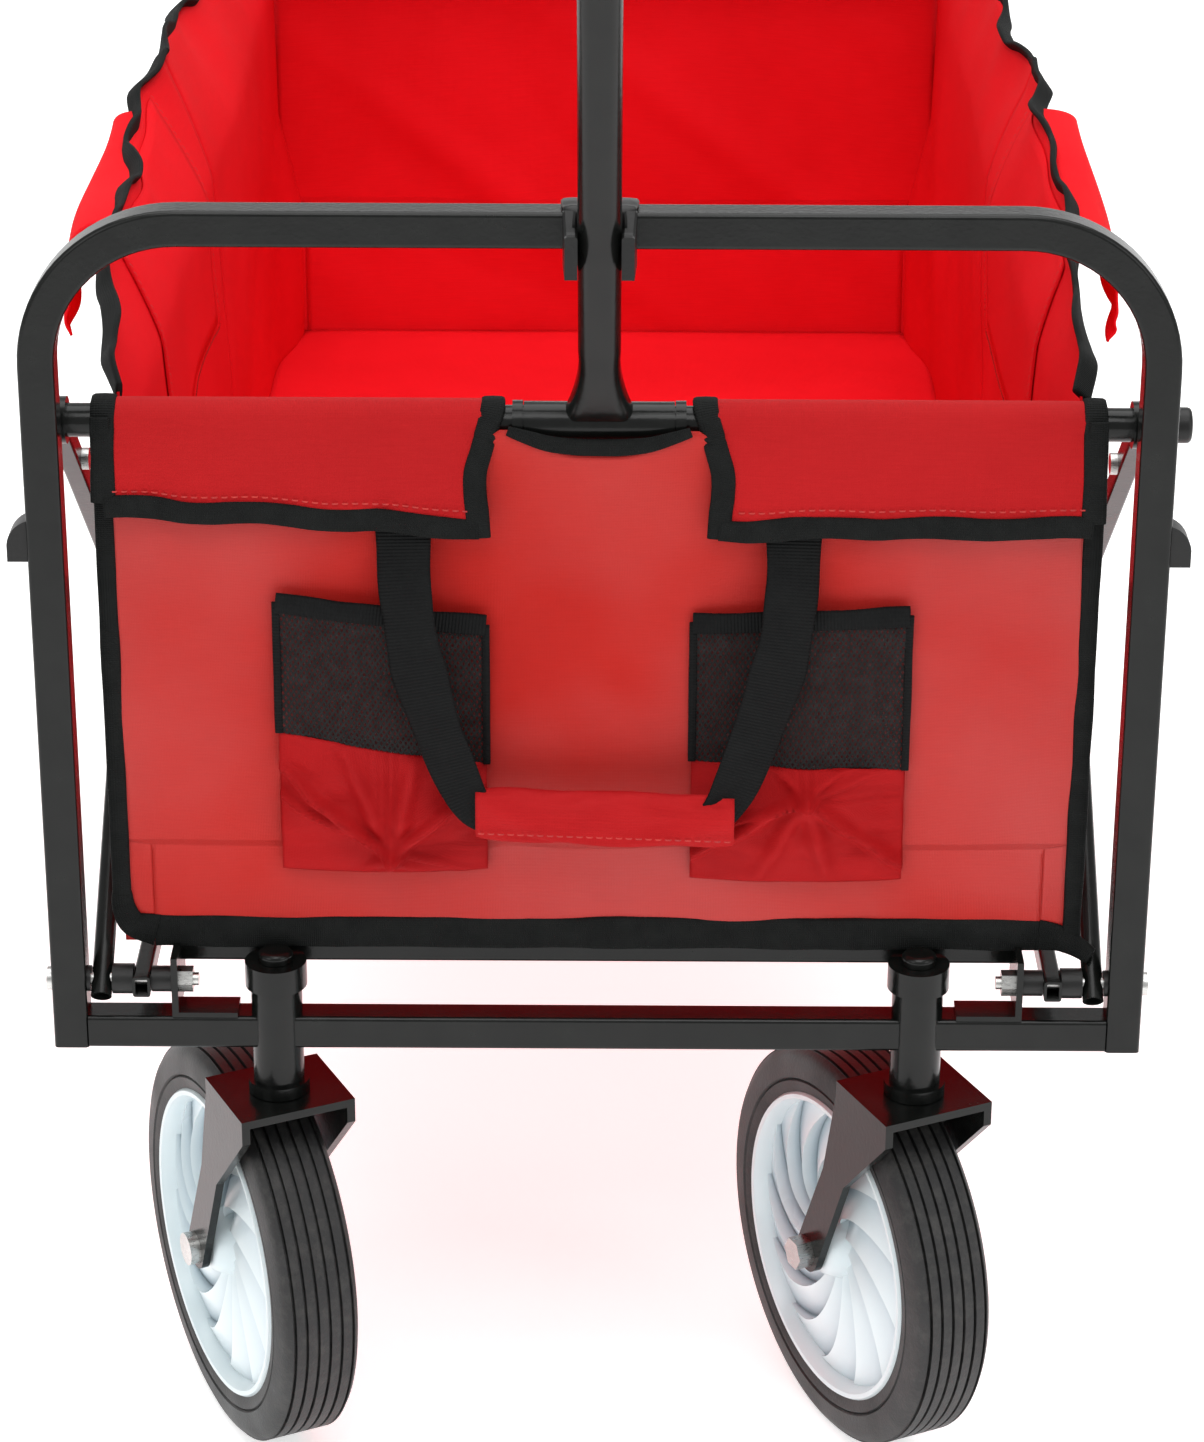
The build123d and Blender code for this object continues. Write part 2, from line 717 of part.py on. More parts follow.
def handle_plane(distance):
    """Plane across the handle at a distance from its pivot."""
    return Plane(origin=HANDLE_PIVOT + HANDLE_UP * distance, x_dir=(1, 0, 0), z_dir=HANDLE_UP)


with BuildPart() as handle_tube:
    with BuildSketch(handle_plane(NECK_END)):
        RectangleRounded(HANDLE_WIDTH, HANDLE_DEPTH, HANDLE_ROUND)
        inner_width = HANDLE_WIDTH - 2 * TUBE_WALL
        inner_depth = HANDLE_DEPTH - 2 * TUBE_WALL
        RectangleRounded(inner_width, inner_depth, HANDLE_ROUND - TUBE_WALL, mode=Mode.SUBTRACT)
    extrude(amount=HANDLE_LENGTH - NECK_END)
save(handle_tube, "handle_tube")

# T-shaped sleeve that turns on the front rail, with a neck that narrows up to the tube.
with BuildPart() as handle_sleeve:
    with BuildSketch(Plane.YZ.offset(-SLEEVE_LENGTH / 2)):
        with Locations((HANDLE_PIVOT.Y, HANDLE_PIVOT.Z)):
            Circle(SLEEVE_RADIUS)
    extrude(amount=SLEEVE_LENGTH)
    with BuildSketch(handle_plane(NECK_START)):
        RectangleRounded(31, 13, 6)
    with BuildSketch(handle_plane(NECK_START + 14)):
        RectangleRounded(22, 15.5, 6)
    with BuildSketch(handle_plane(NECK_END)):
        RectangleRounded(HANDLE_WIDTH, HANDLE_DEPTH, HANDLE_ROUND)
    loft()
    with BuildSketch(Plane.YZ.offset(-SLEEVE_LENGTH / 2 - 1)):
        with Locations((HANDLE_PIVOT.Y, HANDLE_PIVOT.Z)):
            Circle(RAIL_RADIUS + RUNNING)
    extrude(amount=SLEEVE_LENGTH + 2, mode=Mode.SUBTRACT)
save(handle_sleeve, "handle_sleeve")

# Closed loop grip on the handle's top.
grip_base = HANDLE_PIVOT + HANDLE_UP * HANDLE_LENGTH
grip_plane = Plane(origin=grip_base, x_dir=(1, 0, 0), z_dir=HANDLE_UP.cross(Vector(1, 0, 0)) * -1)
with BuildPart() as handle_grip:
    with BuildSketch(grip_plane):
        with Locations((0, GRIP_HEIGHT / 2)):
            RectangleRounded(GRIP_WIDTH, GRIP_HEIGHT, 30)
            opening = (GRIP_WIDTH - 2 * GRIP_BAR, GRIP_HEIGHT - 2 * GRIP_BAR)
            RectangleRounded(opening[0], opening[1], 15, mode=Mode.SUBTRACT)
    extrude(amount=GRIP_BAR / 2, both=True)
    fillet(handle_grip.edges().filter_by(lambda edge: edge.length > 4), 4.5)
save(handle_grip, "handle_grip")

# Spring clip on the front arch's top bar: a saddle over the tube and two wings beside the handle.
CLIP_HALF = 15.5
CLIP_GAP = 9.7
CLIP_SHEET = 2.5
with BuildPart() as handle_clip:
    bar_front = FRONT_Y - TUBE / 2
    bar_back = FRONT_Y + TUBE / 2
    bar_low = ARCH_TOP - TUBE
    block((-CLIP_HALF, bar_front, ARCH_TOP), (CLIP_HALF, bar_back + CLIP_SHEET, ARCH_TOP + CLIP_SHEET))
    block((-CLIP_HALF, bar_back, bar_low), (CLIP_HALF, bar_back + CLIP_SHEET, ARCH_TOP))
    wing_y = (bar_front - 34, bar_front)
    paired_block(CLIP_GAP, CLIP_HALF, wing_y, (bar_low - 6, ARCH_TOP + CLIP_SHEET))
save(handle_clip, "handle_clip")


# ---- Bag ----

def upright(y_low, y_high, x_half, z_low, z_high, mode=Mode.ADD):
    """Upright sheet across the wagon."""
    block((-x_half, y_low, z_low), (x_half, y_high, z_high), mode)


# Front wall of the bag, cut lower under the handle's sleeve and notched beside the floor links.
with BuildPart() as bag_front:
    panel_y = FRONT_Y + PANEL_FRONT
    upright(panel_y, panel_y + CLOTH, PANEL_HALF, PANEL_NOTCH, RAIL_UNDER - 0.4)
    notch_x = FLOOR_FRONT_X - FLOOR_WIDTH / 2 - 0.8
    upright(panel_y, panel_y + CLOTH, notch_x, PANEL_BOTTOM, PANEL_NOTCH)
    upright(panel_y - 1, panel_y + CLOTH + 1, NECK_HALF, NECK_Z, RAIL_UNDER + 1, Mode.SUBTRACT)
save(bag_front, "bag_front")

# Sleeves that hang the front wall on the rail, each with a flap in front.
with BuildPart() as rail_sleeves:
    rail_y = FRONT_Y + RAIL_BACK
    ring((rail_y, RAIL_Z), SLEEVE_OUTER, SLEEVE_INNER, NECK_HALF, PANEL_HALF)
    flap_y = (FRONT_Y + PANEL_FRONT - 0.2 - CLOTH, FRONT_Y + PANEL_FRONT - 0.2)
    paired_block(NECK_HALF + 4, PANEL_HALF, flap_y, (FLAP_BOTTOM, RAIL_Z))
save(rail_sleeves, "rail_sleeves")

# Two mesh pockets with gathered bottoms on the front wall.
POCKET_NEAR = 46.0
POCKET_FAR = 140.0
POCKET_Z = (312.0, 442.0)
with BuildPart() as front_pockets:
    pocket_y = (FRONT_Y + PANEL_FRONT - 6.2, FRONT_Y + PANEL_FRONT - 0.2)
    paired_block(POCKET_NEAR, POCKET_FAR, pocket_y, POCKET_Z)
save(front_pockets, "front_pockets")

# Webbing carry strap in front of the pockets, with its padded wrap.
STRAP_SHEET = 2.5
with BuildPart() as carry_strap:
    strap_back = FRONT_Y + PANEL_FRONT - 6.6
    with BuildSketch(Plane.XZ.offset(-strap_back)):
        for side in SIDES:
            with BuildLine():
                Polyline(
                    (side * 74, FLAP_BOTTOM - 2),
                    (side * 98, FLAP_BOTTOM - 2),
                    (side * 88, 400),
                    (side * 56, 334),
                    (side * 50, 352),
                    (side * 60, 392),
                    (side * 74, FLAP_BOTTOM - 2),
                )
            make_face()
        with Locations((0, 343)):
            Rectangle(112, 24)
    extrude(amount=STRAP_SHEET)
save(carry_strap, "carry_strap")

# Rear wall of the bag with its sleeve around the rear rail.
with BuildPart() as bag_rear:
    wall_y = REAR_Y - PANEL_FRONT - CLOTH
    upright(wall_y, wall_y + CLOTH, BAG_HALF, PANEL_NOTCH, RAIL_UNDER + 2)
    notch_x = FLOOR_REAR_X - FLOOR_WIDTH / 2 - 0.8
    upright(wall_y, wall_y + CLOTH, notch_x, FLOOR_Z + CLOTH, PANEL_NOTCH)
    rear_rail_y = REAR_Y - RAIL_BACK
    with BuildSketch(Plane.YZ.offset(-BAG_HALF)):
        with Locations((rear_rail_y, RAIL_Z)):
            Circle(SLEEVE_OUTER)
    extrude(amount=2 * BAG_HALF)
    with BuildSketch(Plane.YZ.offset(-BAG_HALF - 1)):
        with Locations((rear_rail_y, RAIL_Z)):
            Circle(SLEEVE_INNER)
    extrude(amount=2 * BAG_HALF + 2, mode=Mode.SUBTRACT)
save(bag_rear, "bag_rear")

# Floor of the bag, on the floor bars.
with BuildPart() as bag_floor:
    floor_y = (FRONT_Y + PANEL_FRONT + CLOTH + 0.3, REAR_Y - PANEL_FRONT - CLOTH - 0.3)
    floor_x = BAG_HALF - CLOTH - 0.5
    block((-floor_x, floor_y[0], FLOOR_Z), (floor_x, floor_y[1], FLOOR_Z + CLOTH))
save(bag_floor, "bag_floor")

# Side walls, highest along the middle, each with a flap pocket that hangs outside the braces.
SIDE_Z = FLOOR_Z + CLOTH + 0.3
SIDE_END = RAIL_BACK + SLEEVE_OUTER + 1
FLAP_OUTER = 243.0
for side, name in ((-1, "left"), (1, "right")):
    with BuildPart() as bag_side:
        front_end = FRONT_Y + SIDE_END
        rear_end = REAR_Y - SIDE_END
        middle_y = (front_end + rear_end) / 2
        with BuildSketch(Plane.YZ.offset(side * BAG_HALF)):
            with BuildLine():
                Polyline(
                    (front_end, RAIL_Z + 8),
                    (front_end, SIDE_Z),
                    (rear_end, SIDE_Z),
                    (rear_end, RAIL_Z + 8),
                )
                Spline(
                    (rear_end, RAIL_Z + 8),
                    (middle_y + 200, SIDE_TOP - 4),
                    (middle_y, SIDE_TOP),
                    (middle_y - 200, SIDE_TOP - 4),
                    (front_end, RAIL_Z + 8),
                )
            make_face()
        extrude(amount=-side * CLOTH)
        flap = (FRONT_Y + 200, FRONT_Y + 430)
        top_x = sorted((side * (BAG_HALF - CLOTH / 2), side * FLAP_OUTER))
        block((top_x[0], flap[0], 546), (top_x[1], flap[1], 546 + CLOTH))
        flap_x = sorted((side * (FLAP_OUTER - CLOTH), side * FLAP_OUTER))
        block((flap_x[0], flap[0], 470), (flap_x[1], flap[1], 547))
    save(bag_side, f"bag_side_{name}")
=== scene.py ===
"""Looks for the folding wagon: painted steel, a red fabric bag with black tape, and four wheels."""
import json
import math

import bpy
from mathutils import Matrix, Vector, noise


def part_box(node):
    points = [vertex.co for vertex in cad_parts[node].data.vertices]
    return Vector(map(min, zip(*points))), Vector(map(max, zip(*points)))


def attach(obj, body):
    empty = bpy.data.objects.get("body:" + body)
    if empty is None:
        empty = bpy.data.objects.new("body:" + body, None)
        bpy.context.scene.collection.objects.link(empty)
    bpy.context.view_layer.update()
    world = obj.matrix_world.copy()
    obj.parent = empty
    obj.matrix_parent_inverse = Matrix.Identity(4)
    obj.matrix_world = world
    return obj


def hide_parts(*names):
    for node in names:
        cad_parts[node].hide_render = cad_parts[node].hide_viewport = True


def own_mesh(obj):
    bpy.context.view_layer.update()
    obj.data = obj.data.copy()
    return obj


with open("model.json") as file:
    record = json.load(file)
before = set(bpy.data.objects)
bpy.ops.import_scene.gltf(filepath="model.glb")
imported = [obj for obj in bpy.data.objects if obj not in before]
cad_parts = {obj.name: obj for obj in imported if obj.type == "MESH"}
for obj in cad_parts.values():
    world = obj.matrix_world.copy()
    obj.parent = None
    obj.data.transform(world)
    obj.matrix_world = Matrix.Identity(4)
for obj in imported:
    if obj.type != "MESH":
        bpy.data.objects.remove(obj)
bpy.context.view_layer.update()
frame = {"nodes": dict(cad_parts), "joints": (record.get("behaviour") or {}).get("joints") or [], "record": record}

SCENE = bpy.context.scene
nodes = frame["nodes"]


def box_middle(name):
    low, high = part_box(name)
    return (Vector(low) + Vector(high)) / 2


FRONT = box_middle("front_arch").y
REAR = box_middle("rear_arch").y
SPAN = REAR - FRONT
FORWARD = (0, -1, 0)

# The bag's rails: how far in from their arches, how high, and how far out the cloth lies round them.
RAIL_Y = 0.0195
RAIL_Z = 0.525
RAIL_WRAP = 0.0098

# The bag's floor: its height, and where its cloth starts and ends behind the front arch.
FLOOR_Z = 0.2752
FLOOR_START = 0.0135
FLOOR_END = SPAN - 0.028

# The bag's walls. The lower corners are pieces of their own, out from and below the CORNER values.
# Above its shoulder a side wall leans out, and the rear wall turns over its rail.
SIDE_HALF = 0.2116
SIDE_SHOULDER = 0.508
WALL_HALF = 0.2175
WALL_LOW = 0.2745
WALL_EDGE = 0.2176
FRONT_CORNER = 0.2032
FRONT_CORNER_TOP = 0.326
REAR_HALF = 0.2110
REAR_LOW = 0.2765
REAR_SHOULDER = 0.512
REAR_SHOULDER_SHARE = 0.78
REAR_CORNER = 0.1936
REAR_CORNER_TOP = 0.366

WHEEL_RADIUS = 0.098
RIM_RADIUS = 0.0755


# ---------------------------------------------------------------- shading helpers

class Graph:
    """A material's node graph with a few short ways to add nodes."""

    def __init__(self, name):
        self.mat = bpy.data.materials.new(name)
        self.mat.use_nodes = True
        self.tree = self.mat.node_tree
        self.bsdf = self.tree.nodes["Principled BSDF"]
        self.out = self.tree.nodes["Material Output"]

    def add(self, kind, **values):
        node = self.tree.nodes.new("ShaderNode" + kind)
        for key, value in values.items():
            setattr(node, key, value)
        return node

    def link(self, a, b):
        self.tree.links.new(a, b)

    def coords(self, kind="Object", scale=(1, 1, 1), turn=0.0):
        source = self.add("TexCoord")
        mapping = self.add("Mapping")
        mapping.inputs["Scale"].default_value = scale
        mapping.inputs["Rotation"].default_value = (0, 0, turn)
        self.link(source.outputs[kind], mapping.inputs["Vector"])
        return mapping.outputs["Vector"]

    def noise(self, vector, scale, detail=4.0, rough=0.55):
        node = self.add("TexNoise")
        node.inputs["Scale"].default_value = scale
        node.inputs["Detail"].default_value = detail
        node.inputs["Roughness"].default_value = rough
        self.link(vector, node.inputs["Vector"])
        return node.outputs["Fac"]

    def ramp(self, fac, stops):
        node = self.add("ValToRGB")
        while len(node.color_ramp.elements) < len(stops):
            node.color_ramp.elements.new(0.5)
        for element, (at, color) in zip(node.color_ramp.elements, stops):
            element.position = at
            element.color = (*color, 1)
        self.link(fac, node.inputs["Fac"])
        return node.outputs["Color"]

    def spread(self, fac, low, high, lo=0.3, hi=0.7):
        node = self.add("MapRange")
        for key, value in (("From Min", lo), ("From Max", hi), ("To Min", low), ("To Max", high)):
            node.inputs[key].default_value = value
        self.link(fac, node.inputs["Value"])
        return node.outputs["Result"]

    def maths(self, kind, a, b):
        node = self.add("Math", operation=kind)
        for index, value in enumerate((a, b)):
            if isinstance(value, (int, float)):
                node.inputs[index].default_value = value
            else:
                self.link(value, node.inputs[index])
        return node.outputs[0]

    def bump(self, height, distance, strength=1.0, under=None):
        node = self.add("Bump")
        node.inputs["Strength"].default_value = strength
        node.inputs["Distance"].default_value = distance
        self.link(height, node.inputs["Height"])
        if under is not None:
            self.link(under, node.inputs["Normal"])
        return node.outputs["Normal"]

    def wave(self, vector, scale, direction="X"):
        node = self.add("TexWave", bands_direction=direction)
        node.inputs["Scale"].default_value = scale
        self.link(vector, node.inputs["Vector"])
        return node.outputs["Fac"]

    def set(self, **values):
        for key, value in values.items():
            self.bsdf.inputs[key.replace("_", " ")].default_value = value

    def wire(self, socket, value):
        self.link(value, self.bsdf.inputs[socket])

    def surface(self, color, rough, normal):
        self.wire("Base Color", color)
        self.wire("Roughness", rough)
        self.wire("Normal", normal)


def painted_steel():
    g = Graph("black gloss paint")
    at = g.coords()
    patch = g.noise(at, 9.0, 3)
    peel = g.noise(at, 420.0, 2)
    dust = g.noise(at, 60.0, 6, 0.7)
    smears = g.maths("ADD", g.maths("MULTIPLY", patch, 0.6), g.maths("MULTIPLY", dust, 0.4))
    g.set(Coat_Weight=0.06, Coat_Roughness=0.1, Specular_IOR_Level=0.24)
    g.surface(g.ramp(dust, [(0.35, (0.0035, 0.0040, 0.0037)), (0.8, (0.009, 0.010, 0.009))]),
              g.spread(smears, 0.15, 0.30), g.bump(peel, 0.0002, 0.35))
    return g.mat


def plated_steel():
    g = Graph("zinc plated steel")
    at = g.coords()
    brushed = g.noise(g.coords(scale=(1, 1, 6)), 300.0, 3)
    patch = g.noise(at, 40.0, 4)
    g.set(Metallic=1.0)
    g.surface(g.ramp(patch, [(0.3, (0.42, 0.42, 0.41)), (0.7, (0.66, 0.66, 0.64))]),
              g.spread(brushed, 0.22, 0.42), g.bump(brushed, 0.0001, 0.4))
    return g.mat


def moulded_black(name, shade, rough, grain, coat=0.0):
    g = Graph(name)
    at = g.coords()
    fine = g.noise(at, grain, 3)
    patch = g.noise(at, 25.0, 5, 0.65)
    worn = (shade * 1.7, shade * 1.75, shade * 1.7)
    g.set(Coat_Weight=coat, Coat_Roughness=0.2, Specular_IOR_Level=0.3)
    g.surface(g.ramp(patch, [(0.3, (shade,) * 3), (0.75, worn)]),
              g.spread(patch, rough - 0.07, rough + 0.1), g.bump(fine, 0.0003, 0.4))
    return g.mat


def tyre_rubber():
    g = Graph("tyre rubber")
    at = g.coords()
    fine = g.noise(at, 700.0, 4)
    patch = g.noise(at, 30.0, 6, 0.7)
    scuff = g.noise(at, 120.0, 5, 0.75)
    g.surface(g.ramp(scuff, [(0.45, (0.0105, 0.0105, 0.011)), (0.78, (0.045, 0.043, 0.04))]),
              g.spread(patch, 0.42, 0.66), g.bump(fine, 0.0004, 0.5))
    return g.mat


def pale_plastic():
    g = Graph("pale blue white plastic")
    at = g.coords()
    patch = g.noise(at, 14.0, 3)
    fine = g.noise(at, 500.0, 2)
    g.set(Coat_Weight=0.25, Coat_Roughness=0.15)
    g.surface(g.ramp(patch, [(0.3, (0.67, 0.77, 0.80)), (0.7, (0.76, 0.84, 0.86))]),
              g.spread(patch, 0.28, 0.42), g.bump(fine, 0.0001, 0.3))
    return g.mat


def vane_plastic():
    """Pale plastic for blades: the flat coordinate runs across each one, with painted shade darker down in the
    groove.
    """
    g = Graph("pale plastic blades")
    across = g.add("SeparateXYZ")
    g.link(g.coords("UV"), across.inputs[0])
    fine = g.noise(g.coords(), 500.0, 2)
    patch = g.noise(g.coords(), 14.0, 3)
    # Painted shade: light at each blade's raised edge, darker towards the foot of its step.
    stops = [
        (0.0, (0.80, 0.88, 0.90)),
        (0.55, (0.70, 0.79, 0.83)),
        (0.9, (0.50, 0.59, 0.64)),
        (1.0, (0.30, 0.37, 0.41)),
    ]
    g.set(Coat_Weight=0.25, Coat_Roughness=0.15)
    g.surface(g.ramp(across.outputs[0], stops), g.spread(patch, 0.26, 0.40), g.bump(fine, 0.0001, 0.3))
    return g.mat


def woven(name, dark, light, rough, gloss=0.2, coat=0.0, sheen_patches=0.0):
    """Plain weave in the piece's own flat coordinates, with soft creases and faint mottling."""
    thread = 430.0
    depth = 0.00025
    g = Graph(name)
    flat = g.coords("UV")
    at = g.coords()
    warp = g.wave(flat, thread, "X")
    weft = g.wave(flat, thread, "Y")
    weave = g.maths("MAXIMUM", warp, weft)
    mottle = g.noise(at, 7.0, 5, 0.6)
    slub = g.noise(g.coords("UV", (1, 18, 1)), 60.0, 3)
    crease = g.noise(at, 34.0, 4, 0.5)
    tone = g.maths("ADD", g.maths("MULTIPLY", mottle, 0.7), g.maths("MULTIPLY", slub, 0.3))
    g.set(Specular_IOR_Level=gloss, Coat_Weight=coat, Coat_Roughness=0.38)
    if sheen_patches:
        patches = g.noise(at, 5.5, 3, 0.5)
        shine = g.spread(patches, gloss - sheen_patches, gloss + sheen_patches, 0.36, 0.64)
        g.wire("Specular IOR Level", shine)
        g.wire("Coat Weight", g.spread(patches, 0.0, 2 * coat, 0.36, 0.64))
    folds = g.bump(crease, 0.0035, 0.35)
    g.surface(g.ramp(tone, [(0.32, dark), (0.68, light)]),
              g.spread(mottle, rough - 0.05, rough + 0.06), g.bump(weave, depth, 0.6, folds))
    return g.mat


def ribbed_tape(name, dark, light, rough, pitch):
    """Woven tape: fine ribs across its length, in flat coordinates."""
    g = Graph(name)
    flat = g.coords("UV")
    rib = g.wave(flat, pitch, "Y")
    edge = g.wave(flat, pitch * 0.8, "X")
    worn = g.noise(g.coords(), 90.0, 5, 0.7)
    weave = g.maths("ADD", rib, g.maths("MULTIPLY", edge, 0.4))
    g.set(Specular_IOR_Level=0.12)
    g.surface(g.ramp(worn, [(0.35, dark), (0.8, light)]),
              g.spread(worn, rough - 0.06, rough + 0.1), g.bump(weave, 0.0004, 0.7))
    return g.mat


def net():
    """Black net: crossed threads with open holes between them."""
    g = Graph("black net")
    one = g.wave(g.coords("UV", turn=math.radians(32)), 150.0, "X")
    two = g.wave(g.coords("UV", turn=math.radians(-32)), 150.0, "X")
    thread = g.maths("MAXIMUM", one, two)
    solid = g.spread(thread, 0.45, 1.0, 0.44, 0.62)
    worn = g.noise(g.coords(), 200.0, 3)
    g.wire("Base Color", g.ramp(worn, [(0.3, (0.004, 0.004, 0.004)), (0.7, (0.012, 0.012, 0.012))]))
    g.set(Roughness=0.7, Specular_IOR_Level=0.2)
    g.wire("Normal", g.bump(thread, 0.0003, 0.6))
    g.wire("Alpha", solid)
    return g.mat


def thread_stitch():
    g = Graph("red thread")
    twist = g.wave(g.coords("UV"), 300.0, "DIAGONAL")
    tone = g.noise(g.coords(), 150.0, 3)
    g.surface(g.ramp(tone, [(0.3, (0.35, 0.012, 0.012)), (0.7, (0.55, 0.03, 0.02))]),
              g.spread(tone, 0.5, 0.7), g.bump(twist, 0.0002, 0.6))
    return g.mat


PAINT = painted_steel()
ZINC = plated_steel()
BLACK = moulded_black("black plastic", 0.007, 0.4, 600.0, 0.06)
GRIP = moulded_black("soft grip rubber", 0.011, 0.62, 900.0)
RUBBER = tyre_rubber()
PALE = pale_plastic()
SHADE_PAINTED_VANE = vane_plastic()
RED = woven("red bag fabric", (0.72, 0.004, 0.009), (0.86, 0.008, 0.016), 0.75, gloss=0.08)
PANEL = woven("red coated fabric", (0.44, 0.0115, 0.008), (0.51, 0.0175, 0.012), 0.40,
              gloss=0.28, coat=0.13, sheen_patches=0.16)
FLAP = woven("red flap fabric", (0.40, 0.005, 0.007), (0.48, 0.009, 0.011), 0.66, gloss=0.14)
TAPE = ribbed_tape("black binding tape", (0.0055, 0.0062, 0.006), (0.013, 0.014, 0.0135), 0.7, 330.0)
WEB = ribbed_tape("black webbing", (0.0035, 0.0038, 0.004), (0.009, 0.0095, 0.0095), 0.66, 210.0)
NET = net()
THREAD = thread_stitch()
BOX = woven("dark red pocket fabric", (0.34, 0.003, 0.005), (0.44, 0.006, 0.007), 0.6, gloss=0.14)

LOOKS = {
    "frame_paint": PAINT,
    "zinc_steel": ZINC,
    "black_plastic": BLACK,
    "rim_plastic": PALE,
    "tyre_rubber": RUBBER,
    "bag_fabric": RED,
    "webbing": WEB,
    "pocket_mesh": NET,
    "grip_rubber": GRIP,
}
SLOT_OF = {row["node"]: row["material_slot"] for row in frame["record"]["subparts"]}
for node_name, node in nodes.items():
    node.data.materials.clear()
    node.data.materials.append(LOOKS[SLOT_OF[node_name]])


# ---------------------------------------------------------------- shape helpers

def make(name, verts, faces, mat, uvs=None, smooth=True):
    mesh = bpy.data.meshes.new(name)
    mesh.from_pydata([tuple(v) for v in verts], [], faces)
    if uvs is not None:
        layer = mesh.uv_layers.new(name="flat")
        for loop in mesh.loops:
            layer.data[loop.index].uv = uvs[loop.vertex_index]
    for polygon in mesh.polygons:
        polygon.use_smooth = smooth
    mesh.materials.append(mat)
    obj = bpy.data.objects.new(name, mesh)
    SCENE.collection.objects.link(obj)
    return obj


def sheet_grid(name, across, along, place, mat, thick=0.0012):
    """Cloth between u and v in 0..1; flat coordinates are measured along the cloth itself."""
    points = [[Vector(place(i / across, j / along)) for i in range(across + 1)] for j in range(along + 1)]
    verts = []
    uvs = []
    for j, row in enumerate(points):
        run = 0.0
        for i, p in enumerate(row):
            if i:
                run += (p - row[i - 1]).length
            verts.append(p)
            uvs.append((run, 0.0))
    for i in range(across + 1):
        run = 0.0
        for j in range(along + 1):
            if j:
                run += (points[j][i] - points[j - 1][i]).length
            k = j * (across + 1) + i
            uvs[k] = (uvs[k][0], run)
    faces = []
    for j in range(along):
        for i in range(across):
            a = j * (across + 1) + i
            faces.append((a, a + 1, a + across + 2, a + across + 1))
    obj = make(name, verts, faces, mat, uvs)
    if thick:
        solid = obj.modifiers.new("thickness", "SOLIDIFY")
        solid.thickness = thick
        solid.offset = 0.0
    return obj


def smooth_path(points, per=6):
    """Points along a soft curve through the given ones."""
    pts = [Vector(p) for p in points]
    out = []
    for k in range(len(pts) - 1):
        a = pts[max(k - 1, 0)]
        b = pts[k]
        c = pts[k + 1]
        d = pts[min(k + 2, len(pts) - 1)]
        for s in range(per):
            t = s / per
            out.append(
                0.5 * ((2 * b) + (c - a) * t + (2 * a - 5 * b + 4 * c - d) * t * t
                       + (3 * b - a - 3 * c + d) * t ** 3)
            )
    out.append(pts[-1])
    return out


def tape(name, points, width, thick, facing, mat, ripple=0.0, seed=0.0, per=6, round_=0.9):
    """Flat tape along a path. Its width and the way its flat side faces are fixed, or functions of 0..1."""
    path = smooth_path(points, per)
    verts, uvs, faces = [], [], []
    around = 12
    run = 0.0
    for k, p in enumerate(path):
        share = k / (len(path) - 1)
        before = path[max(k - 1, 0)]
        after = path[min(k + 1, len(path) - 1)]
        ahead = (after - before).normalized()
        if k:
            run += (p - path[k - 1]).length
        look = facing(share) if callable(facing) else Vector(facing)
        sideways = ahead.cross(look).normalized()
        out = sideways.cross(ahead).normalized()
        wide = width(share) if callable(width) else width
        sway = ripple * noise.noise(Vector((run * 22.0, seed, 0.3)))
        swell = 1 + 0.12 * noise.noise(Vector((run * 40.0, seed, 4.1)))
        for a in range(around):
            angle = 2 * math.pi * a / around
            c = math.cos(angle)
            s = math.sin(angle)
            flat = math.copysign(abs(c) ** (1 - round_ * 0.6), c)
            deep = math.copysign(abs(s) ** (1 - round_ * 0.3), s)
            verts.append(p + sideways * (flat * wide / 2 * swell) + out * (deep * thick / 2 + sway))
            uvs.append((flat * wide / 2, run))
    for k in range(len(path) - 1):
        for a in range(around):
            b = (a + 1) % around
            faces.append((k * around + a, k * around + b, (k + 1) * around + b, (k + 1) * around + a))
    faces.append(tuple(range(around - 1, -1, -1)))
    last = (len(path) - 1) * around
    faces.append(tuple(range(last, last + around)))
    return make(name, verts, faces, mat, uvs)


def stitches(name, points, facing):
    """A line of short raised stitches along a path."""
    length = 0.0028
    gap = 0.0016
    size = 0.0007
    path = smooth_path(points)
    verts, uvs, faces = [], [], []
    look = Vector(facing).normalized()
    pos = 0.0
    nxt = 0.0
    for k in range(len(path) - 1):
        a = path[k]
        b = path[k + 1]
        seg = (b - a).length
        while nxt < pos + seg and seg > 0:
            t = (nxt - pos) / seg
            p = a.lerp(b, t)
            ahead = (b - a).normalized()
            sideways = ahead.cross(look).normalized()
            base = len(verts)
            for along, high in ((-0.5, 0.0), (-0.25, 0.9), (0.25, 0.9), (0.5, 0.0)):
                for side in (-1, 1):
                    verts.append(p + ahead * along * length + sideways * side * size / 2 + look * high * size)
                    uvs.append((side * size, along * length))
            for s in range(3):
                q = base + 2 * s
                faces.append((q, q + 1, q + 3, q + 2))
            nxt += length + gap
        pos += seg
    return make(name, verts, faces, THREAD, uvs)


def lathe(name, profile, centre, axle, mat, steps=96):
    """Closed ring turned about an axle: profile holds (along the axle, radius)."""
    axle = Vector(axle).normalized()
    up = Vector((0, 0, 1))
    side = up.cross(axle).normalized()
    verts, uvs, faces = [], [], []
    n = len(profile)
    for k in range(steps):
        angle = 2 * math.pi * k / steps
        out = up * math.cos(angle) + side * math.sin(angle)
        for x, r in profile:
            verts.append(Vector(centre) + axle * x + out * r)
            uvs.append((x, angle * WHEEL_RADIUS))
    for k in range(steps):
        m = (k + 1) % steps
        for i in range(n):
            j = (i + 1) % n
            faces.append((k * n + i, m * n + i, m * n + j, k * n + j))
    return make(name, verts, faces, mat, uvs)


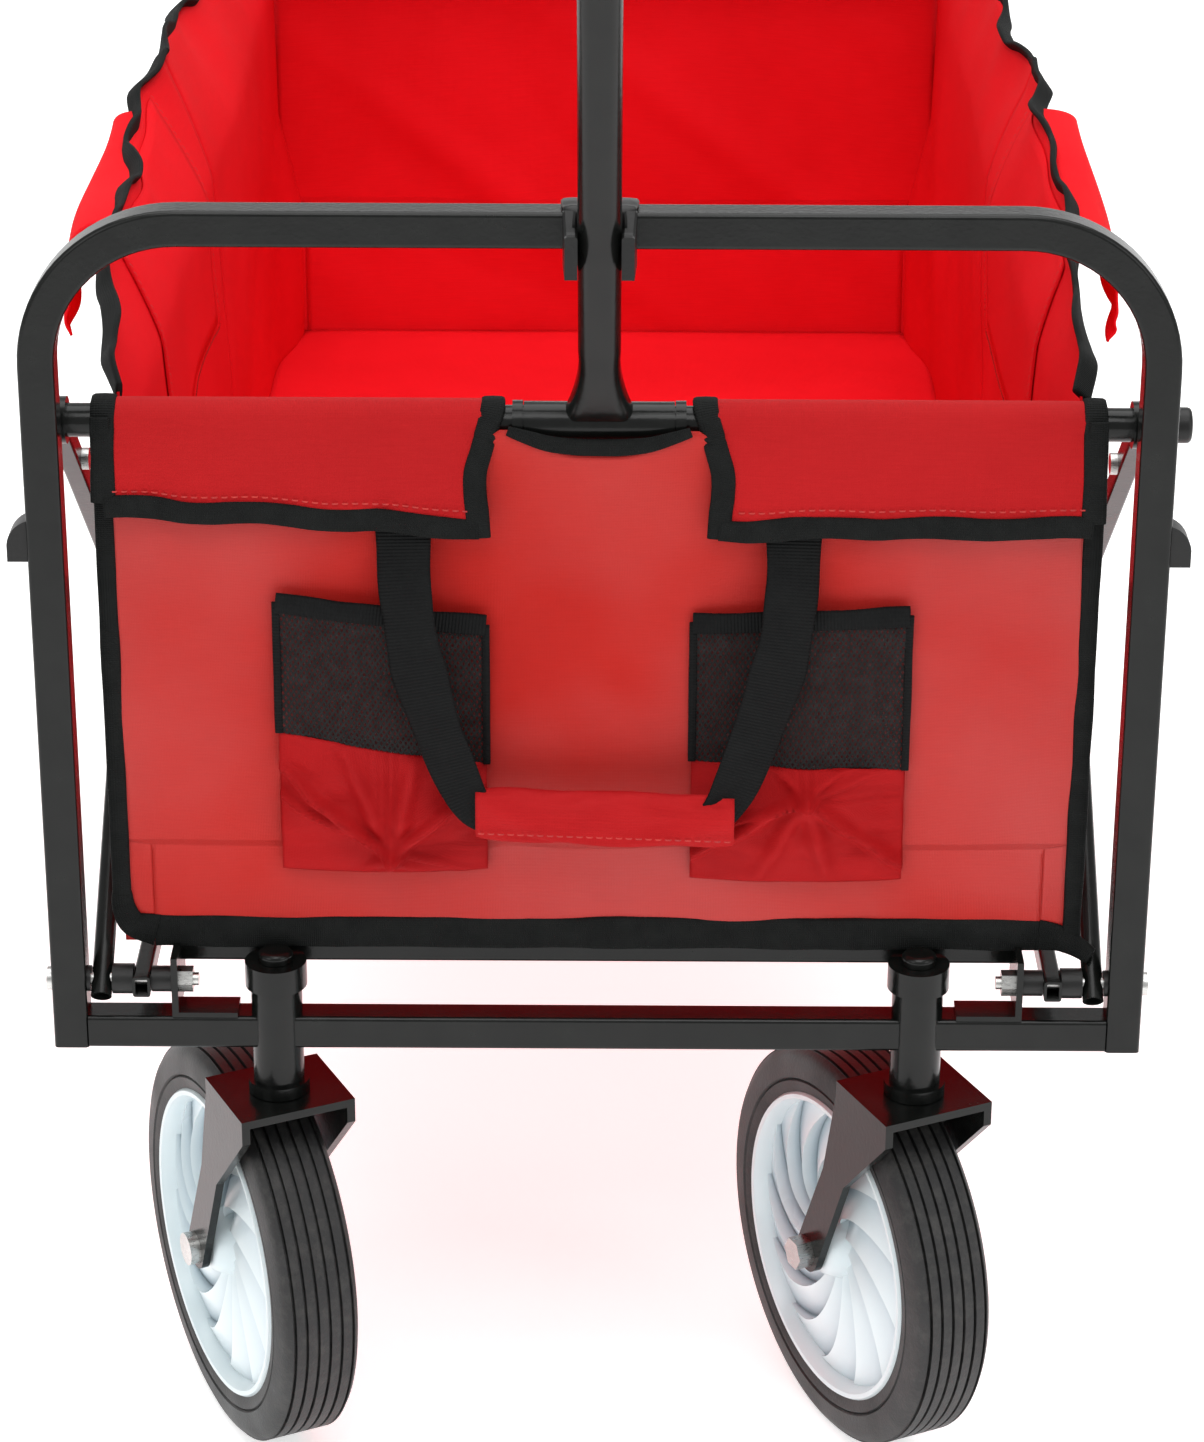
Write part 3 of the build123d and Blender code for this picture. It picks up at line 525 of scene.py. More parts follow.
def keep_sharp(obj, degrees=32):
    """Smooth shading with crisp edges above an angle."""
    bpy.context.view_layer.objects.active = obj
    for o in bpy.context.selected_objects:
        o.select_set(False)
    obj.select_set(True)
    bpy.ops.object.shade_smooth_by_angle(angle=math.radians(degrees))
    obj.select_set(False)


def ruffle(p, size, scale, seed=0.0):
    """Gentle undulation at a point."""
    return size * noise.noise(Vector((p[0] * scale + seed, p[1] * scale, p[2] * scale)))


def name_of(side):
    return "left" if side < 0 else "right"


def on(obj, body, slot, *replaced):
    """Puts a piece on its body, and hides the modelled solids it stands in for. Its material slot is not used."""
    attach(obj, body)
    if replaced:
        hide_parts(*replaced)
    return obj


def closing(obj, side, half, slot, *replaced):
    """Half of a side of the bag, put on the front or rear frame's body with its own copy of its mesh."""
    is_front = half == "front"
    on(obj, "front_frame" if is_front else "rear_frame", slot, *replaced)
    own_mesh(obj)
    return obj


def tucked(obj, body, slot):
    """A loose corner of cloth, put on its body with its own copy of its mesh."""
    on(obj, body, slot)
    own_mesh(obj)
    return obj


def settle(obj, pinned, frames, mass, stiff, pressure):
    """Lets padded cloth hang and puff with some of it held, then keeps that shape."""
    group = obj.vertex_groups.new(name="held")
    for vertex in obj.data.vertices:
        weight = pinned(vertex.co)
        if weight > 0:
            group.add([vertex.index], weight, "REPLACE")
    cloth = obj.modifiers.new("cloth", "CLOTH")
    settings = cloth.settings
    settings.quality = 6
    settings.mass = mass
    settings.tension_stiffness = stiff
    settings.compression_stiffness = stiff
    settings.shear_stiffness = 6
    settings.bending_stiffness = 1.5
    settings.air_damping = 4
    settings.vertex_group_mass = "held"
    settings.use_pressure = True
    settings.uniform_pressure_force = pressure
    cloth.point_cache.frame_start = 1
    cloth.point_cache.frame_end = frames
    for f in range(1, frames + 1):
        SCENE.frame_set(f)
    graph = bpy.context.evaluated_depsgraph_get()
    settled = obj.evaluated_get(graph).to_mesh()
    places = [v.co.copy() for v in settled.vertices]
    obj.evaluated_get(graph).to_mesh_clear()
    obj.modifiers.remove(cloth)
    for vertex, place in zip(obj.data.vertices, places):
        vertex.co = place
    SCENE.frame_set(1)


def front(x, y, z):
    """A point in the wagon's frame from one measured back from the front arch."""
    return Vector((x, FRONT + y, z))


# ---------------------------------------------------------------- front wall of the bag

def panel_y(x, z):
    """How far behind the arch the front wall lies, with its slack and small creases."""
    belly = -0.0022 * math.exp(-((x / 0.10) ** 2) - ((z - 0.40) / 0.09) ** 2)
    crease = ruffle((x, 0, z), 0.0026, 9.0, 2.0) + ruffle((x, 0, z), 0.0012, 26.0, 7.0)
    pull = 0.0014 * math.sin((x + 0.4 * z) * 60) * math.exp(-((z - 0.29) / 0.03) ** 2)
    loose = min(1.0, max(0.0, (z - 0.280) / 0.025))
    return 0.0106 * (1 - loose) + (0.0085 + belly + crease + pull) * loose


def neckline(x):
    """Height of the wall's top edge: a shallow dip under the handle's sleeve, then level beside it."""
    lowest = 0.5180
    beside = 0.5172
    dip = lowest + 0.0072 * min(1.0, abs(x) / 0.0375) ** 3
    level = min(1.0, max(0.0, (abs(x) - 0.044) / 0.010))
    return dip + (beside - dip) * level


def front_wall(u, v):
    x = -WALL_HALF + 2 * WALL_HALF * u
    top = neckline(x) - 0.0038 * math.exp(-((x / 0.022) ** 4))
    z = WALL_LOW + (top - WALL_LOW) * v
    if z < FRONT_CORNER_TOP:
        x *= FRONT_CORNER / WALL_HALF
    return front(x, panel_y(x, z), z)


def front_corner(side):
    """The wall's lower corner, a separate piece of cloth."""
    def place(u, v):
        x = side * (FRONT_CORNER - 0.0004 + (WALL_HALF - FRONT_CORNER) * u)
        z = WALL_LOW + (FRONT_CORNER_TOP + 0.0015 - WALL_LOW) * v
        return front(x, panel_y(x, z) + 0.0003, z)

    corner = sheet_grid(f"front_wall_corner_{name_of(side)}", 8, 20, place, PANEL, 0.001)
    return tucked(corner, "front_frame", "bag_fabric")


wall = sheet_grid("bag_front_wall", 150, 84, front_wall, PANEL, 0.001)
on(wall, "front_frame", "bag_fabric", "bag_front")

corners = [front_corner(-1), front_corner(1)]


def edge_binding(name, x, heights, ripple, seed):
    """Binding down one edge of the front wall."""
    path = [front(x, 0.0085, z) for z in heights]
    return on(tape(name, path, 0.0086, 0.0034, FORWARD, TAPE, ripple, seed), "front_frame", "webbing")


def corner_binding(name, points, width):
    """Binding at one of the wall's lower corners."""
    piece = tape(name, [front(*p) for p in points], width, 0.0033, FORWARD, TAPE)
    return tucked(piece, "front_frame", "webbing")


def neck_width(t):
    return 0.0080 - 0.0040 * abs(2 * t - 1) ** 2


binding = edge_binding("front_wall_binding", -WALL_EDGE, (0.530, 0.47, 0.40, 0.34, 0.31, 0.299), 0.0005, 1.0)
corner_left = corner_binding("front_binding_turn_left", [
    (-WALL_EDGE, 0.0085, 0.3010),
    (-0.2170, 0.0087, 0.2920),
    (-0.2130, 0.0092, 0.2835),
    (-0.2025, 0.0101, 0.2800),
], lambda t: 0.0088 + 0.0073 * t)
corner_right = corner_binding("front_binding_tip_right", [
    (0.2025, 0.0101, 0.2797),
    (0.2120, 0.0092, 0.2785),
    (0.2200, 0.0070, 0.2755),
    (0.2265, 0.0030, 0.2725),
], lambda t: 0.0161 - 0.0080 * t)
bottom = [front(x, 0.0102, 0.2797 + 0.0004 * math.sin(x * 50)) for x in
          (-FRONT_CORNER, -0.17, -0.12, -0.06, 0, 0.06, 0.12, 0.17, FRONT_CORNER)]
hem = tape("front_wall_hem", bottom, 0.0163, 0.0034, FORWARD, TAPE, 0.0005, 2.0)
on(hem, "front_frame", "webbing")
binding_right = edge_binding("front_wall_binding_right", WALL_EDGE, (0.530, 0.47, 0.40, 0.34, 0.30, 0.272),
                             0.0012, 3.0)
neck_path = [front(x, panel_y(x, 0.51) - 0.0012, neckline(x)) for x in
             (-0.040, -0.032, -0.022, -0.011, 0, 0.011, 0.022, 0.032, 0.040)]
neck = tape("neckline_binding", neck_path, neck_width, 0.003, FORWARD, TAPE, 0.0003, 5.0)
on(neck, "front_frame", "webbing")
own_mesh(neck)


# ---------------------------------------------------------------- sleeves round the rail, with flaps

def inner_edge(z):
    """Distance from the middle to the flap's inner edge, at a height."""
    t = min(1.0, max(0.0, (0.5335 - z) / 0.03))
    return 0.0465 + 0.0085 * t - 0.003 * max(0.0, (0.505 - z) / 0.025)


def flap_bottom(side, t):
    """Height of the flap's lower edge, from its outer end to its inner end."""
    outer = 0.4935 if side < 0 else 0.4855
    return outer + (0.4845 - outer) * t ** 1.2 + 0.0008 * math.sin(t * 19)


def flap(side):
    """One flap of the rail's sleeve, bound on three edges, with a line of stitches."""
    outer_end = 0.2165
    turn = 0.36

    def place(u, v):
        if v < turn:
            angle = math.radians(-70 + 250 * v / turn)
            y = RAIL_Y + RAIL_WRAP * math.cos(angle)
            z = RAIL_Z + RAIL_WRAP * math.sin(angle)
        else:
            t = (v - turn) / (1 - turn)
            z = RAIL_Z + (flap_bottom(side, u) - RAIL_Z) * t
            wave = 0.0016 * math.sin(u * 9.0 + side) + ruffle((u, 0, side), 0.0022, 7.0, 3.0)
            y = 0.0097 - 0.0072 * math.sin(t * 1.5) - abs(wave) * t - 0.002 * t * u ** 6
        x = side * (outer_end + (inner_edge(z) - outer_end) * u)
        lift = ruffle((x, y, z), 0.0009, 30.0, 5.0) if v >= turn else 0.0
        return front(x, y + lift, z)

    def facing(path, hanging_from):
        """Which way a binding faces: out from the rail at first, then forward where the flap hangs."""
        last = len(path) - 1

        def look(t):
            if t > hanging_from:
                return Vector((0, -1, 0.05))
            p = path[min(last, int(round(t * last)))]
            return Vector((0, p.y - FRONT - RAIL_Y, p.z - RAIL_Z)).normalized()

        return look

    name = name_of(side)
    cloth = sheet_grid(f"rail_flap_{name}", 72, 40, place, FLAP, 0.0012)
    lower_path = [place(k / 14, 1.0) + Vector((0, -0.0006, -0.002)) for k in range(15)]
    lower = tape(f"flap_lower_binding_{name}", lower_path, 0.0102, 0.0032, (0, -1, 0.1), TAPE,
                 0.0016, side * 3.0)
    inner_path = [place(1.0, v) for v in (0.12, 0.2, 0.28, 0.36, 0.5, 0.65, 0.8, 0.92, 1.0)]
    inner_path[-1] += Vector((0, 0, -0.006))
    inner = tape(f"flap_inner_binding_{name}", inner_path, 0.0105, 0.0034, facing(inner_path, 0.45), TAPE,
                 0.0004, side * 5.0)
    outer_path = [place(0.0, v) for v in (0.12, 0.2, 0.28, 0.36, 0.5, 0.7, 0.85, 1.0)]
    outer = tape(f"flap_outer_binding_{name}", outer_path, 0.0108, 0.0038, facing(outer_path, 0.48), TAPE,
                 0.0004, side * 7.0)
    seam_path = [place(0.03 + 0.94 * k / 10, 0.90) + Vector((0, -0.0012, 0)) for k in range(11)]
    seam = stitches(f"flap_stitches_{name}", seam_path, (0, -1, 0.1))
    for piece in (lower, inner, outer):
        on(piece, "front_frame", "webbing")
    on(seam, "front_frame", "bag_fabric")
    on(cloth, "front_frame", "bag_fabric", *(("rail_sleeves",) if side < 0 else ()))


flap(-1)
flap(1)


# ---------------------------------------------------------------- mesh pockets with pleated bottoms

def pocket(side, x0, x1, top0, top1, mid0, mid1, low):
    """Elastic top, see-through net, and a pleated red box below it. Numbers 0 and 1 go left to right."""
    name = name_of(side)
    pleats = ((0.9, 0.25, 0.0075), (-0.7, 0.75, 0.0080), (0.3, 0.45, 0.0050), (-0.15, 0.58, 0.0060),
              (1.6, 0.1, 0.0045))
    pleat_width = 0.042

    def net_place(u, v):
        x = x0 + (x1 - x0) * u
        top = top0 + (top1 - top0) * u
        mid = mid0 + (mid1 - mid0) * u
        z = mid + (top - mid) * v
        bulge = 0.0045 * math.sin(math.pi * u) * (0.4 + 0.6 * math.sin(math.pi * min(1, v + 0.2)))
        y = 0.0035 - bulge + ruffle((x, 0, z), 0.0025, 38.0, side * 9.0)
        return front(x, y, z)

    web = sheet_grid(f"pocket_net_{name}", 40, 28, net_place, NET, 0.0)

    def red_place(u, v):
        x = x0 + (x1 - x0) * u
        mid = mid0 + (mid1 - mid0) * u
        z = low + (mid - low) * v
        peak = math.sin(math.pi * min(1, max(0, u))) ** 0.7
        pleat = 0.0
        for slope, place, size in pleats:
            d = (u - place) + slope * (v - 0.5) * side * -1
            fade = math.sin(math.pi * min(1, max(0, v))) ** 0.5
            pleat += size * math.exp(-(d / pleat_width) ** 2) * fade
        crush = ruffle((x, 0.4, z * 1.7), 0.0055, 42.0, side * 4.0) * math.sin(math.pi * v) ** 0.6
        depth = 0.010 * peak * math.sin(math.pi * (0.12 + 0.76 * v))
        return front(x, 0.0045 - depth - pleat - crush, z)

    red = sheet_grid(f"pocket_box_{name}", 64, 48, red_place, BOX, 0.001)
    top_path = [net_place(k / 10, 1.0) + Vector((0, -0.0008, 0.0)) for k in range(11)]
    elastic = tape(f"pocket_elastic_{name}", top_path, 0.0095, 0.0026, (0, -1, 0.12), WEB,
                   0.0012, side * 11.0)
    for edge, u in (("a", 0.0), ("b", 1.0)):
        path = [net_place(u, v) + Vector((0, -0.0004, 0)) for v in (0.0, 0.25, 0.5, 0.75, 1.0)]
        strip = tape(f"pocket_edge_{name}_{edge}", path, 0.0035, 0.0018, FORWARD, WEB, 0.0006, side * 13.0)
        on(strip, "front_frame", "webbing")
    on(web, "front_frame", "pocket_mesh", *(("front_pockets",) if side < 0 else ()))
    on(red, "front_frame", "bag_fabric")
    on(elastic, "front_frame", "webbing")


pocket(-1, -0.143, -0.050, 0.4460, 0.4350, 0.3830, 0.3680, 0.3150)
pocket(1, 0.042, 0.138, 0.4370, 0.4410, 0.3700, 0.3660, 0.3110)


# ---------------------------------------------------------------- carry strap and its wrap

def strap(side):
    """One side of the carry strap, from behind the flap down to the wrap."""
    points = [front(side * x, y, z) for x, y, z in (
        (0.0860, 0.0062, 0.502), (0.0860, 0.0058, 0.486), (0.0858, 0.0030, 0.474),
        (0.0850, -0.0050, 0.455), (0.0805, -0.0110, 0.425), (0.0720, -0.0135, 0.395),
        (0.0625, -0.0155, 0.368), (0.0550, -0.0165, 0.354), (0.0480, -0.0165, 0.349),
    )]

    def wide(t):
        return 0.0248 - 0.0085 * max(0.0, (t - 0.62) / 0.38)

    def look(t):
        return Vector((0.25 * side * math.sin(t * 3.0), -1, 0.10 - 0.3 * t))

    piece = tape(f"carry_strap_{name_of(side)}", points, wide, 0.0022, look, WEB,
                 0.0012, side * 17.0, 8, 0.98)
    on(piece, "front_frame", "webbing", *(("carry_strap",) if side < 0 else ()))


strap(-1)
strap(1)

WRAP_START = -0.0545
WRAP_LENGTH = 0.1155
WRAP_MIDDLE = 0.00325
WRAP_Y = -0.0165


def wrap_place(u, v):
    """Padded sleeve closed round the straps, flattened, with pinched ends."""
    x = WRAP_START + WRAP_LENGTH * u
    angle = 2 * math.pi * v
    pinch = 1 - 0.12 * abs(2 * u - 1) ** 8
    high = (0.0126 + 0.0005 * math.sin(u * 14)) * pinch
    deep = 0.0052 * pinch
    c = math.cos(angle)
    s = math.sin(angle)
    z = 0.3525 - 0.0035 * u + math.copysign(abs(s) ** 0.75, s) * high
    y = WRAP_Y + math.copysign(abs(c) ** 0.8, c) * deep
    bump = ruffle((x, c * 0.02, s * 0.02), 0.0016, 55.0, 21.0)
    return front(x, y - bump, z + 0.6 * bump)


def tube_grid(name, along, around, place, mat):
    """A closed tube with capped ends, from u along it and v round it."""
    verts, uvs, faces = [], [], []
    for i in range(along + 1):
        for j in range(around):
            verts.append(place(i / along, j / around))
            uvs.append((0.12 * i / along, 0.06 * j / around))
    for i in range(along):
        for j in range(around):
            k = (j + 1) % around
            faces.append((i * around + j, (i + 1) * around + j, (i + 1) * around + k, i * around + k))
    faces.append(tuple(range(around)))
    faces.append(tuple(range((along + 1) * around - 1, along * around - 1, -1)))
    return make(name, verts, faces, mat, uvs)


def wrap_held(co):
    """The back of the wrap and its two ends stay where they are."""
    at_back = co.y > FRONT + WRAP_Y - 0.001
    at_end = abs(co.x - WRAP_MIDDLE) > 0.0555
    return 1.0 if at_back or at_end else 0.0


wrap = tube_grid("carry_wrap", 60, 32, wrap_place, FLAP)
settle(wrap, wrap_held, frames=16, mass=0.12, stiff=9.0, pressure=2.5)
on(wrap, "front_frame", "bag_fabric")
seam_path = [front(-0.052 + 0.110 * k / 6, -0.0222, 0.3452 - 0.0035 * k / 6) for k in range(7)]
wrap_seam = stitches("carry_wrap_stitches", seam_path, FORWARD)
on(wrap_seam, "front_frame", "bag_fabric")


# ---------------------------------------------------------------- bag inside

def side_top(side, t):
    """(distance from the middle, height) of a side wall's top edge, front to rear."""
    swell = math.sin(math.pi * min(1.0, max(0.0, t))) ** 0.6
    high = 0.534 + 0.034 * swell + 0.005 * math.sin(t * 17 + side) * swell
    bow = (0.0265 if side < 0 else 0.0150) * swell
    bow += 0.0035 * math.sin(t * 25 + 2 * side) * swell + 0.002 * math.sin(t * 61) * swell
    return SIDE_HALF + bow, high


def side_wall(side):
    """A side of the bag in two halves, with its top binding, lining patch and outer flap."""
    name = name_of(side)
    start = 0.031
    end = SPAN - 0.014
    foot = FLOOR_Z + 0.001

    def place(u, v):
        y = start + (end - start) * u
        far, high = side_top(side, u)
        z = foot + (high - foot) * v
        base = SIDE_HALF - 0.003 + 0.003 * v
        lean = max(0.0, (z - SIDE_SHOULDER) / max(0.001, high - SIDE_SHOULDER))
        x = base + (far - base) * lean ** 1.2
        soft = 0.0
        if 0 < u < 1 and 0 < v < 0.95:
            soft = math.sin(math.pi * u) ** 0.5 * math.sin(math.pi * min(1, v * 1.05)) ** 0.7
        inward = 0.004 + ruffle((0, y, z), 0.007, 4.5, side * 2.0) + ruffle((0, y, z), 0.0022, 15.0, side)
        diagonal = 0.0022 * max(0, math.sin((y * 0.8 + z) * 15 + side)) ** 2
        low = min(1.0, max(0.0, (0.42 - z) / 0.06))
        round_corner = 0.0130 * low * math.exp(-(((SPAN - y) / 0.080) ** 4))
        return Vector((side * (x - soft * (inward + diagonal) - round_corner), FRONT + y, z))

    middle = (SPAN / 2 - start) / (end - start)
    spans = {"front": (0.0, middle), "rear": (middle, 1.0)}
    cloths = {}
    tops = {}
    for half, (first, last) in spans.items():
        cloths[half] = sheet_grid(f"side_wall_{name}_{half}", 65, 50,
                                  lambda u, v, a=first, b=last: place(a + (b - a) * u, v), RED, 0.0012)

    def look(t):
        return Vector((side * 0.9, 0.2 * math.sin(t * 40), 0.55 + 0.5 * math.sin(t * 33 + side)))

    for half, (first, last) in spans.items():
        path = []
        for k in range(24):
            t = first + (last - first) * k / 23
            loose = Vector((side * 0.0008 * math.sin(t * 78), 0, 0.0016 * math.sin(t * 106)))
            path.append(place(t, 1.0) + loose)
        tops[half] = tape(f"side_binding_{name}_{half}", path, 0.0105, 0.0032,
                          lambda t, a=first, b=last: look(a + (b - a) * t), TAPE, 0.0016, side * 23.0)

    patch_low = 0.440

    def patch(u, v):
        y = 0.175 + 0.235 * u
        tt = (y - start) / (end - start)
        high = side_top(side, tt)[1]
        z = patch_low + (high - 0.006 - patch_low) * v
        p = place(tt, (z - foot) / (high - foot))
        return p + Vector((-side * 0.0016, 0, 0))

    lining = sheet_grid(f"side_lining_{name}", 30, 16, patch, RED, 0.0008)
    hem = [patch(k / 8, 0.0) for k in range(9)]
    ends = [patch(0.0, 1 - k / 6) for k in range(6)] + hem + [patch(1.0, k / 6) for k in range(1, 7)]
    raised = [p + Vector((-side * 0.0012, 0, 0)) for p in ends]
    seam = stitches(f"side_lining_stitches_{name}", raised, (-side, 0, 0))

    crest = 0.4

    def outer_flap(u, v):
        y = (0.205 if side < 0 else 0.195) + 0.175 * u
        tt = (y - start) / (end - start)
        far, high = side_top(side, tt)
        ripple = 0.003 * math.sin(u * 11 + side) + ruffle((0, y, v), 0.004, 8.0, side * 6.0)
        reach = (0.2545 if side < 0 else 0.2450) + 0.0025 * math.sin(u * 5)
        if v < crest:
            t = v / crest
            x = far + (reach - far) * math.sin(t * math.pi / 2)
            z = high - 0.002 - (0.020 - 0.012 * u) * t * t
        else:
            t = (v - crest) / (1 - crest)
            x = reach + 0.003 * math.sin(t * 2.6) - abs(ripple) * t
            z = high - 0.022 + 0.012 * u - (0.036 if side < 0 else 0.027) * t
        return Vector((side * x, FRONT + y + 0.006 * v * (2 * u - 1), z))

    flap_cloth = sheet_grid(f"outer_flap_{name}", 44, 30, outer_flap, RED, 0.0012)
    closing(cloths["front"], side, "front", "bag_fabric", f"bag_side_{name}")
    closing(cloths["rear"], side, "rear", "bag_fabric")
    for half in spans:
        closing(tops[half], side, half, "webbing")
    for piece in (lining, seam, flap_cloth):
        closing(piece, side, "front", "bag_fabric")


side_wall(-1)
side_wall(1)


def floor_place(u, v):
    """The floor's cloth, a little narrower at both ends."""
    y = FLOOR_START + (FLOOR_END - FLOOR_START) * v
    half = 0.2095 - 0.0070 * math.exp(-((y / 0.045) ** 4)) - 0.0155 * math.exp(-(((SPAN - y) / 0.055) ** 4))
    x = half * (2 * u - 1)
    sag = -0.003 * math.sin(math.pi * u) * math.sin(math.pi * v)
    puff = abs(ruffle((x, y, 0), 0.006, 6.0, 31.0)) + 0.0035 * math.exp(-((v - 0.985) / 0.012) ** 2)
    edge = min(1.0, 12 * min(u, 1 - u)) * min(1.0, 20 * min(v, 1 - v) + 0.15)
    return front(x, y, FLOOR_Z + 0.0035 + (sag + puff) * edge)


floor_cloth = sheet_grid("bag_floor_cloth", 70, 110, floor_place, RED, 0.0012)
on(floor_cloth, "front_frame", "bag_fabric", "bag_floor")
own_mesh(floor_cloth)


def rear_height(v):
    """How high the rear wall is at a share of the way up, below the part that turns over the rail."""
    return REAR_LOW + (REAR_SHOULDER - REAR_LOW) * v / REAR_SHOULDER_SHARE


def rear_at(x, v):
    """A point of the rear wall, from its distance across and its share of the way up."""
    u = 0.5 + x / (2 * REAR_HALF)
    if v < REAR_SHOULDER_SHARE:
        rise = v / REAR_SHOULDER_SHARE
        z = rear_height(v)
        y = SPAN - 0.0115 - 0.0155 * (1 - rise) ** 1.5
        if 0 < u < 1 and v > 0:
            soft = math.sin(math.pi * u) ** 0.4 * math.sin(math.pi * rise) ** 0.6
            crease = 0.003 * max(0, math.sin((x + z * 1.3) * 34)) ** 4
            y -= soft * (abs(ruffle((x, 0, z), 0.008, 8.0, 12.0)) + crease)
    else:
        t = (v - REAR_SHOULDER_SHARE) / (1 - REAR_SHOULDER_SHARE)
        angle = math.radians(-8 + 240 * t)
        y = SPAN - RAIL_Y + RAIL_WRAP * math.cos(angle)
        z = RAIL_Z + RAIL_WRAP * math.sin(angle)
    return front(x, y, z)


def rear_place(u, v):
    half = REAR_CORNER if rear_height(v) < REAR_CORNER_TOP else REAR_HALF
    return rear_at(half * (2 * u - 1), v)


def rear_corner(side):
    """The rear wall's lower corner, a separate piece of cloth."""
    top = REAR_SHOULDER_SHARE * (REAR_CORNER_TOP + 0.002 - REAR_LOW) / (REAR_SHOULDER - REAR_LOW)

    def place(u, v):
        x = side * (REAR_CORNER - 0.0004 + (REAR_HALF - REAR_CORNER) * u)
        return rear_at(x, top * v) + Vector((0, 0.0003, 0))

    corner = sheet_grid(f"rear_wall_corner_{name_of(side)}", 8, 26, place, RED, 0.0012)
    return tucked(corner, "rear_frame", "bag_fabric")


rear_corners = [rear_corner(-1), rear_corner(1)]
rear_cloth = sheet_grid("bag_rear_wall", 90, 70, rear_place, RED, 0.0012)
on(rear_cloth, "rear_frame", "bag_fabric", "bag_rear")
rear_edge = [rear_at(-0.2091, v) for v in (0.74, 0.6, 0.45, 0.3, 0.15, 0.04)]
rear_edge += [rear_at(2 * REAR_HALF * (u - 0.5), 0.012)
              for u in (0.03, 0.15, 0.3, 0.45, 0.6, 0.75, 0.9, 0.97)]
rear_edge += [rear_at(0.2091, v) for v in (0.04, 0.15, 0.3, 0.45, 0.6, 0.74)]
rear_binding = tape("rear_wall_binding", [p + Vector((0, 0.0024, 0)) for p in rear_edge], 0.0090, 0.0034,
                    (0, 1, 0), TAPE, 0.0008, 29.0)
on(rear_binding, "rear_frame", "webbing")


# ---------------------------------------------------------------- wheels

def wheel(name, body, centre, axle, turn):
    """Ribbed tyre, and a moulded rim with curved vanes between a hub and an outer ring."""
    axle = Vector(axle).normalized()
    half = 0.019
    radius = WHEEL_RADIUS
    rim = RIM_RADIUS
    rib = 0.0058
    groove = 0.0019
    profile = [(-half + 0.001, rim), (-half, rim + 0.003), (-half - 0.0005, rim + 0.006),
               (-half + 0.0006, rim + 0.0068), (-half - 0.0008, rim + 0.0078),
               (-half, radius - 0.006), (-half + 0.0015, radius - 0.0025), (-half + 0.004, radius - 0.0004)]
    for k in range(6):
        x = (k - 2.5) * rib
        profile += [(x - 0.0008, radius), (x - 0.0005, radius - groove)]
        profile += [(x + 0.0005, radius - groove), (x + 0.0008, radius)]
    profile += [(-x, r) for x, r in reversed(profile[:8])]
    tyre = lathe(f"ribbed_tyre_{name}", profile, centre, axle, RUBBER, 128)
    keep_sharp(tyre, 30)
    on(tyre, body, "tyre_rubber", f"tyre_{name}")

    ring = [(-half + 0.0012, rim + 0.0006), (-half - 0.0006, rim - 0.0006),
            (-half - 0.0004, rim - 0.0028), (-half + 0.003, rim - 0.0046), (0.0, rim - 0.0066)]
    ring += [(-x, r) for x, r in reversed(ring[:4])]
    rim_ring = lathe(f"rim_ring_{name}", ring, centre, axle, PALE, 96)
    keep_sharp(rim_ring, 40)
    on(rim_ring, body, "rim_plastic", f"rim_{name}")
    face = ((0.0052, 0.0225), (0.010, 0.0225), (0.0135, 0.0205), (0.0155, 0.0165), (0.0185, 0.0100),
            (0.040, 0.0075), (0.060, 0.0085), (0.0708, 0.0100))
    plate = []
    for side in (-1, 1):
        plate += [(side * x, r) for r, x in face[::-side]]
    web = lathe(f"rim_web_{name}", plate, centre, axle, PALE, 96)
    keep_sharp(web, 40)
    on(web, body, "rim_plastic")

    up = Vector((0, 0, 1))
    side_dir = up.cross(axle).normalized()
    verts, uvs, faces = [], [], []
    blades = 13
    blade_inner = 0.0165
    blade_outer = 0.0722
    blade_sweep = 0.95
    rings = 14
    steps = 6
    row = blades * (steps + 1)
    for side in (-1, 1):
        first = len(verts)
        for s in range(rings + 1):
            t = s / rings
            r = blade_inner + (blade_outer - blade_inner) * t
            for k in range(blades):
                for a in range(steps + 1):
                    f = a / steps
                    angle = (k + f) * 2 * math.pi / blades + turn + side * blade_sweep * t ** 1.15
                    out = up * math.cos(angle) + side_dir * math.sin(angle)
                    rise = 0.0085 * (1 - f) * math.sin(math.pi * min(1.0, 0.16 + 0.80 * t)) ** 0.8
                    h = 0.0095 + 0.0012 * t + rise
                    verts.append(Vector(centre) + out * r + axle * side * h)
                    uvs.append((f, t))
        for s in range(rings):
            for c in range(row):
                n = (c + 1) % row
                a = first + s * row
                quad = (a + c, a + n, a + row + n, a + row + c)
                faces.append(quad if side > 0 else quad[::-1])
    vanes = make(f"rim_vanes_{name}", verts, faces, SHADE_PAINTED_VANE, uvs)
    keep_sharp(vanes, 24)
    on(vanes, body, "rim_plastic")


for joint in frame["joints"]:
    if joint["name"].startswith("wheel_spin_"):
        label = joint["name"].replace("wheel_spin_", "")
        first_blade = 0.2 if "left" in label else 0.05
        wheel(label, joint["child"], joint["pos_m"], joint["axis"], first_blade)


# ---------------------------------------------------------------- clip, ridged and bent, on the top bar

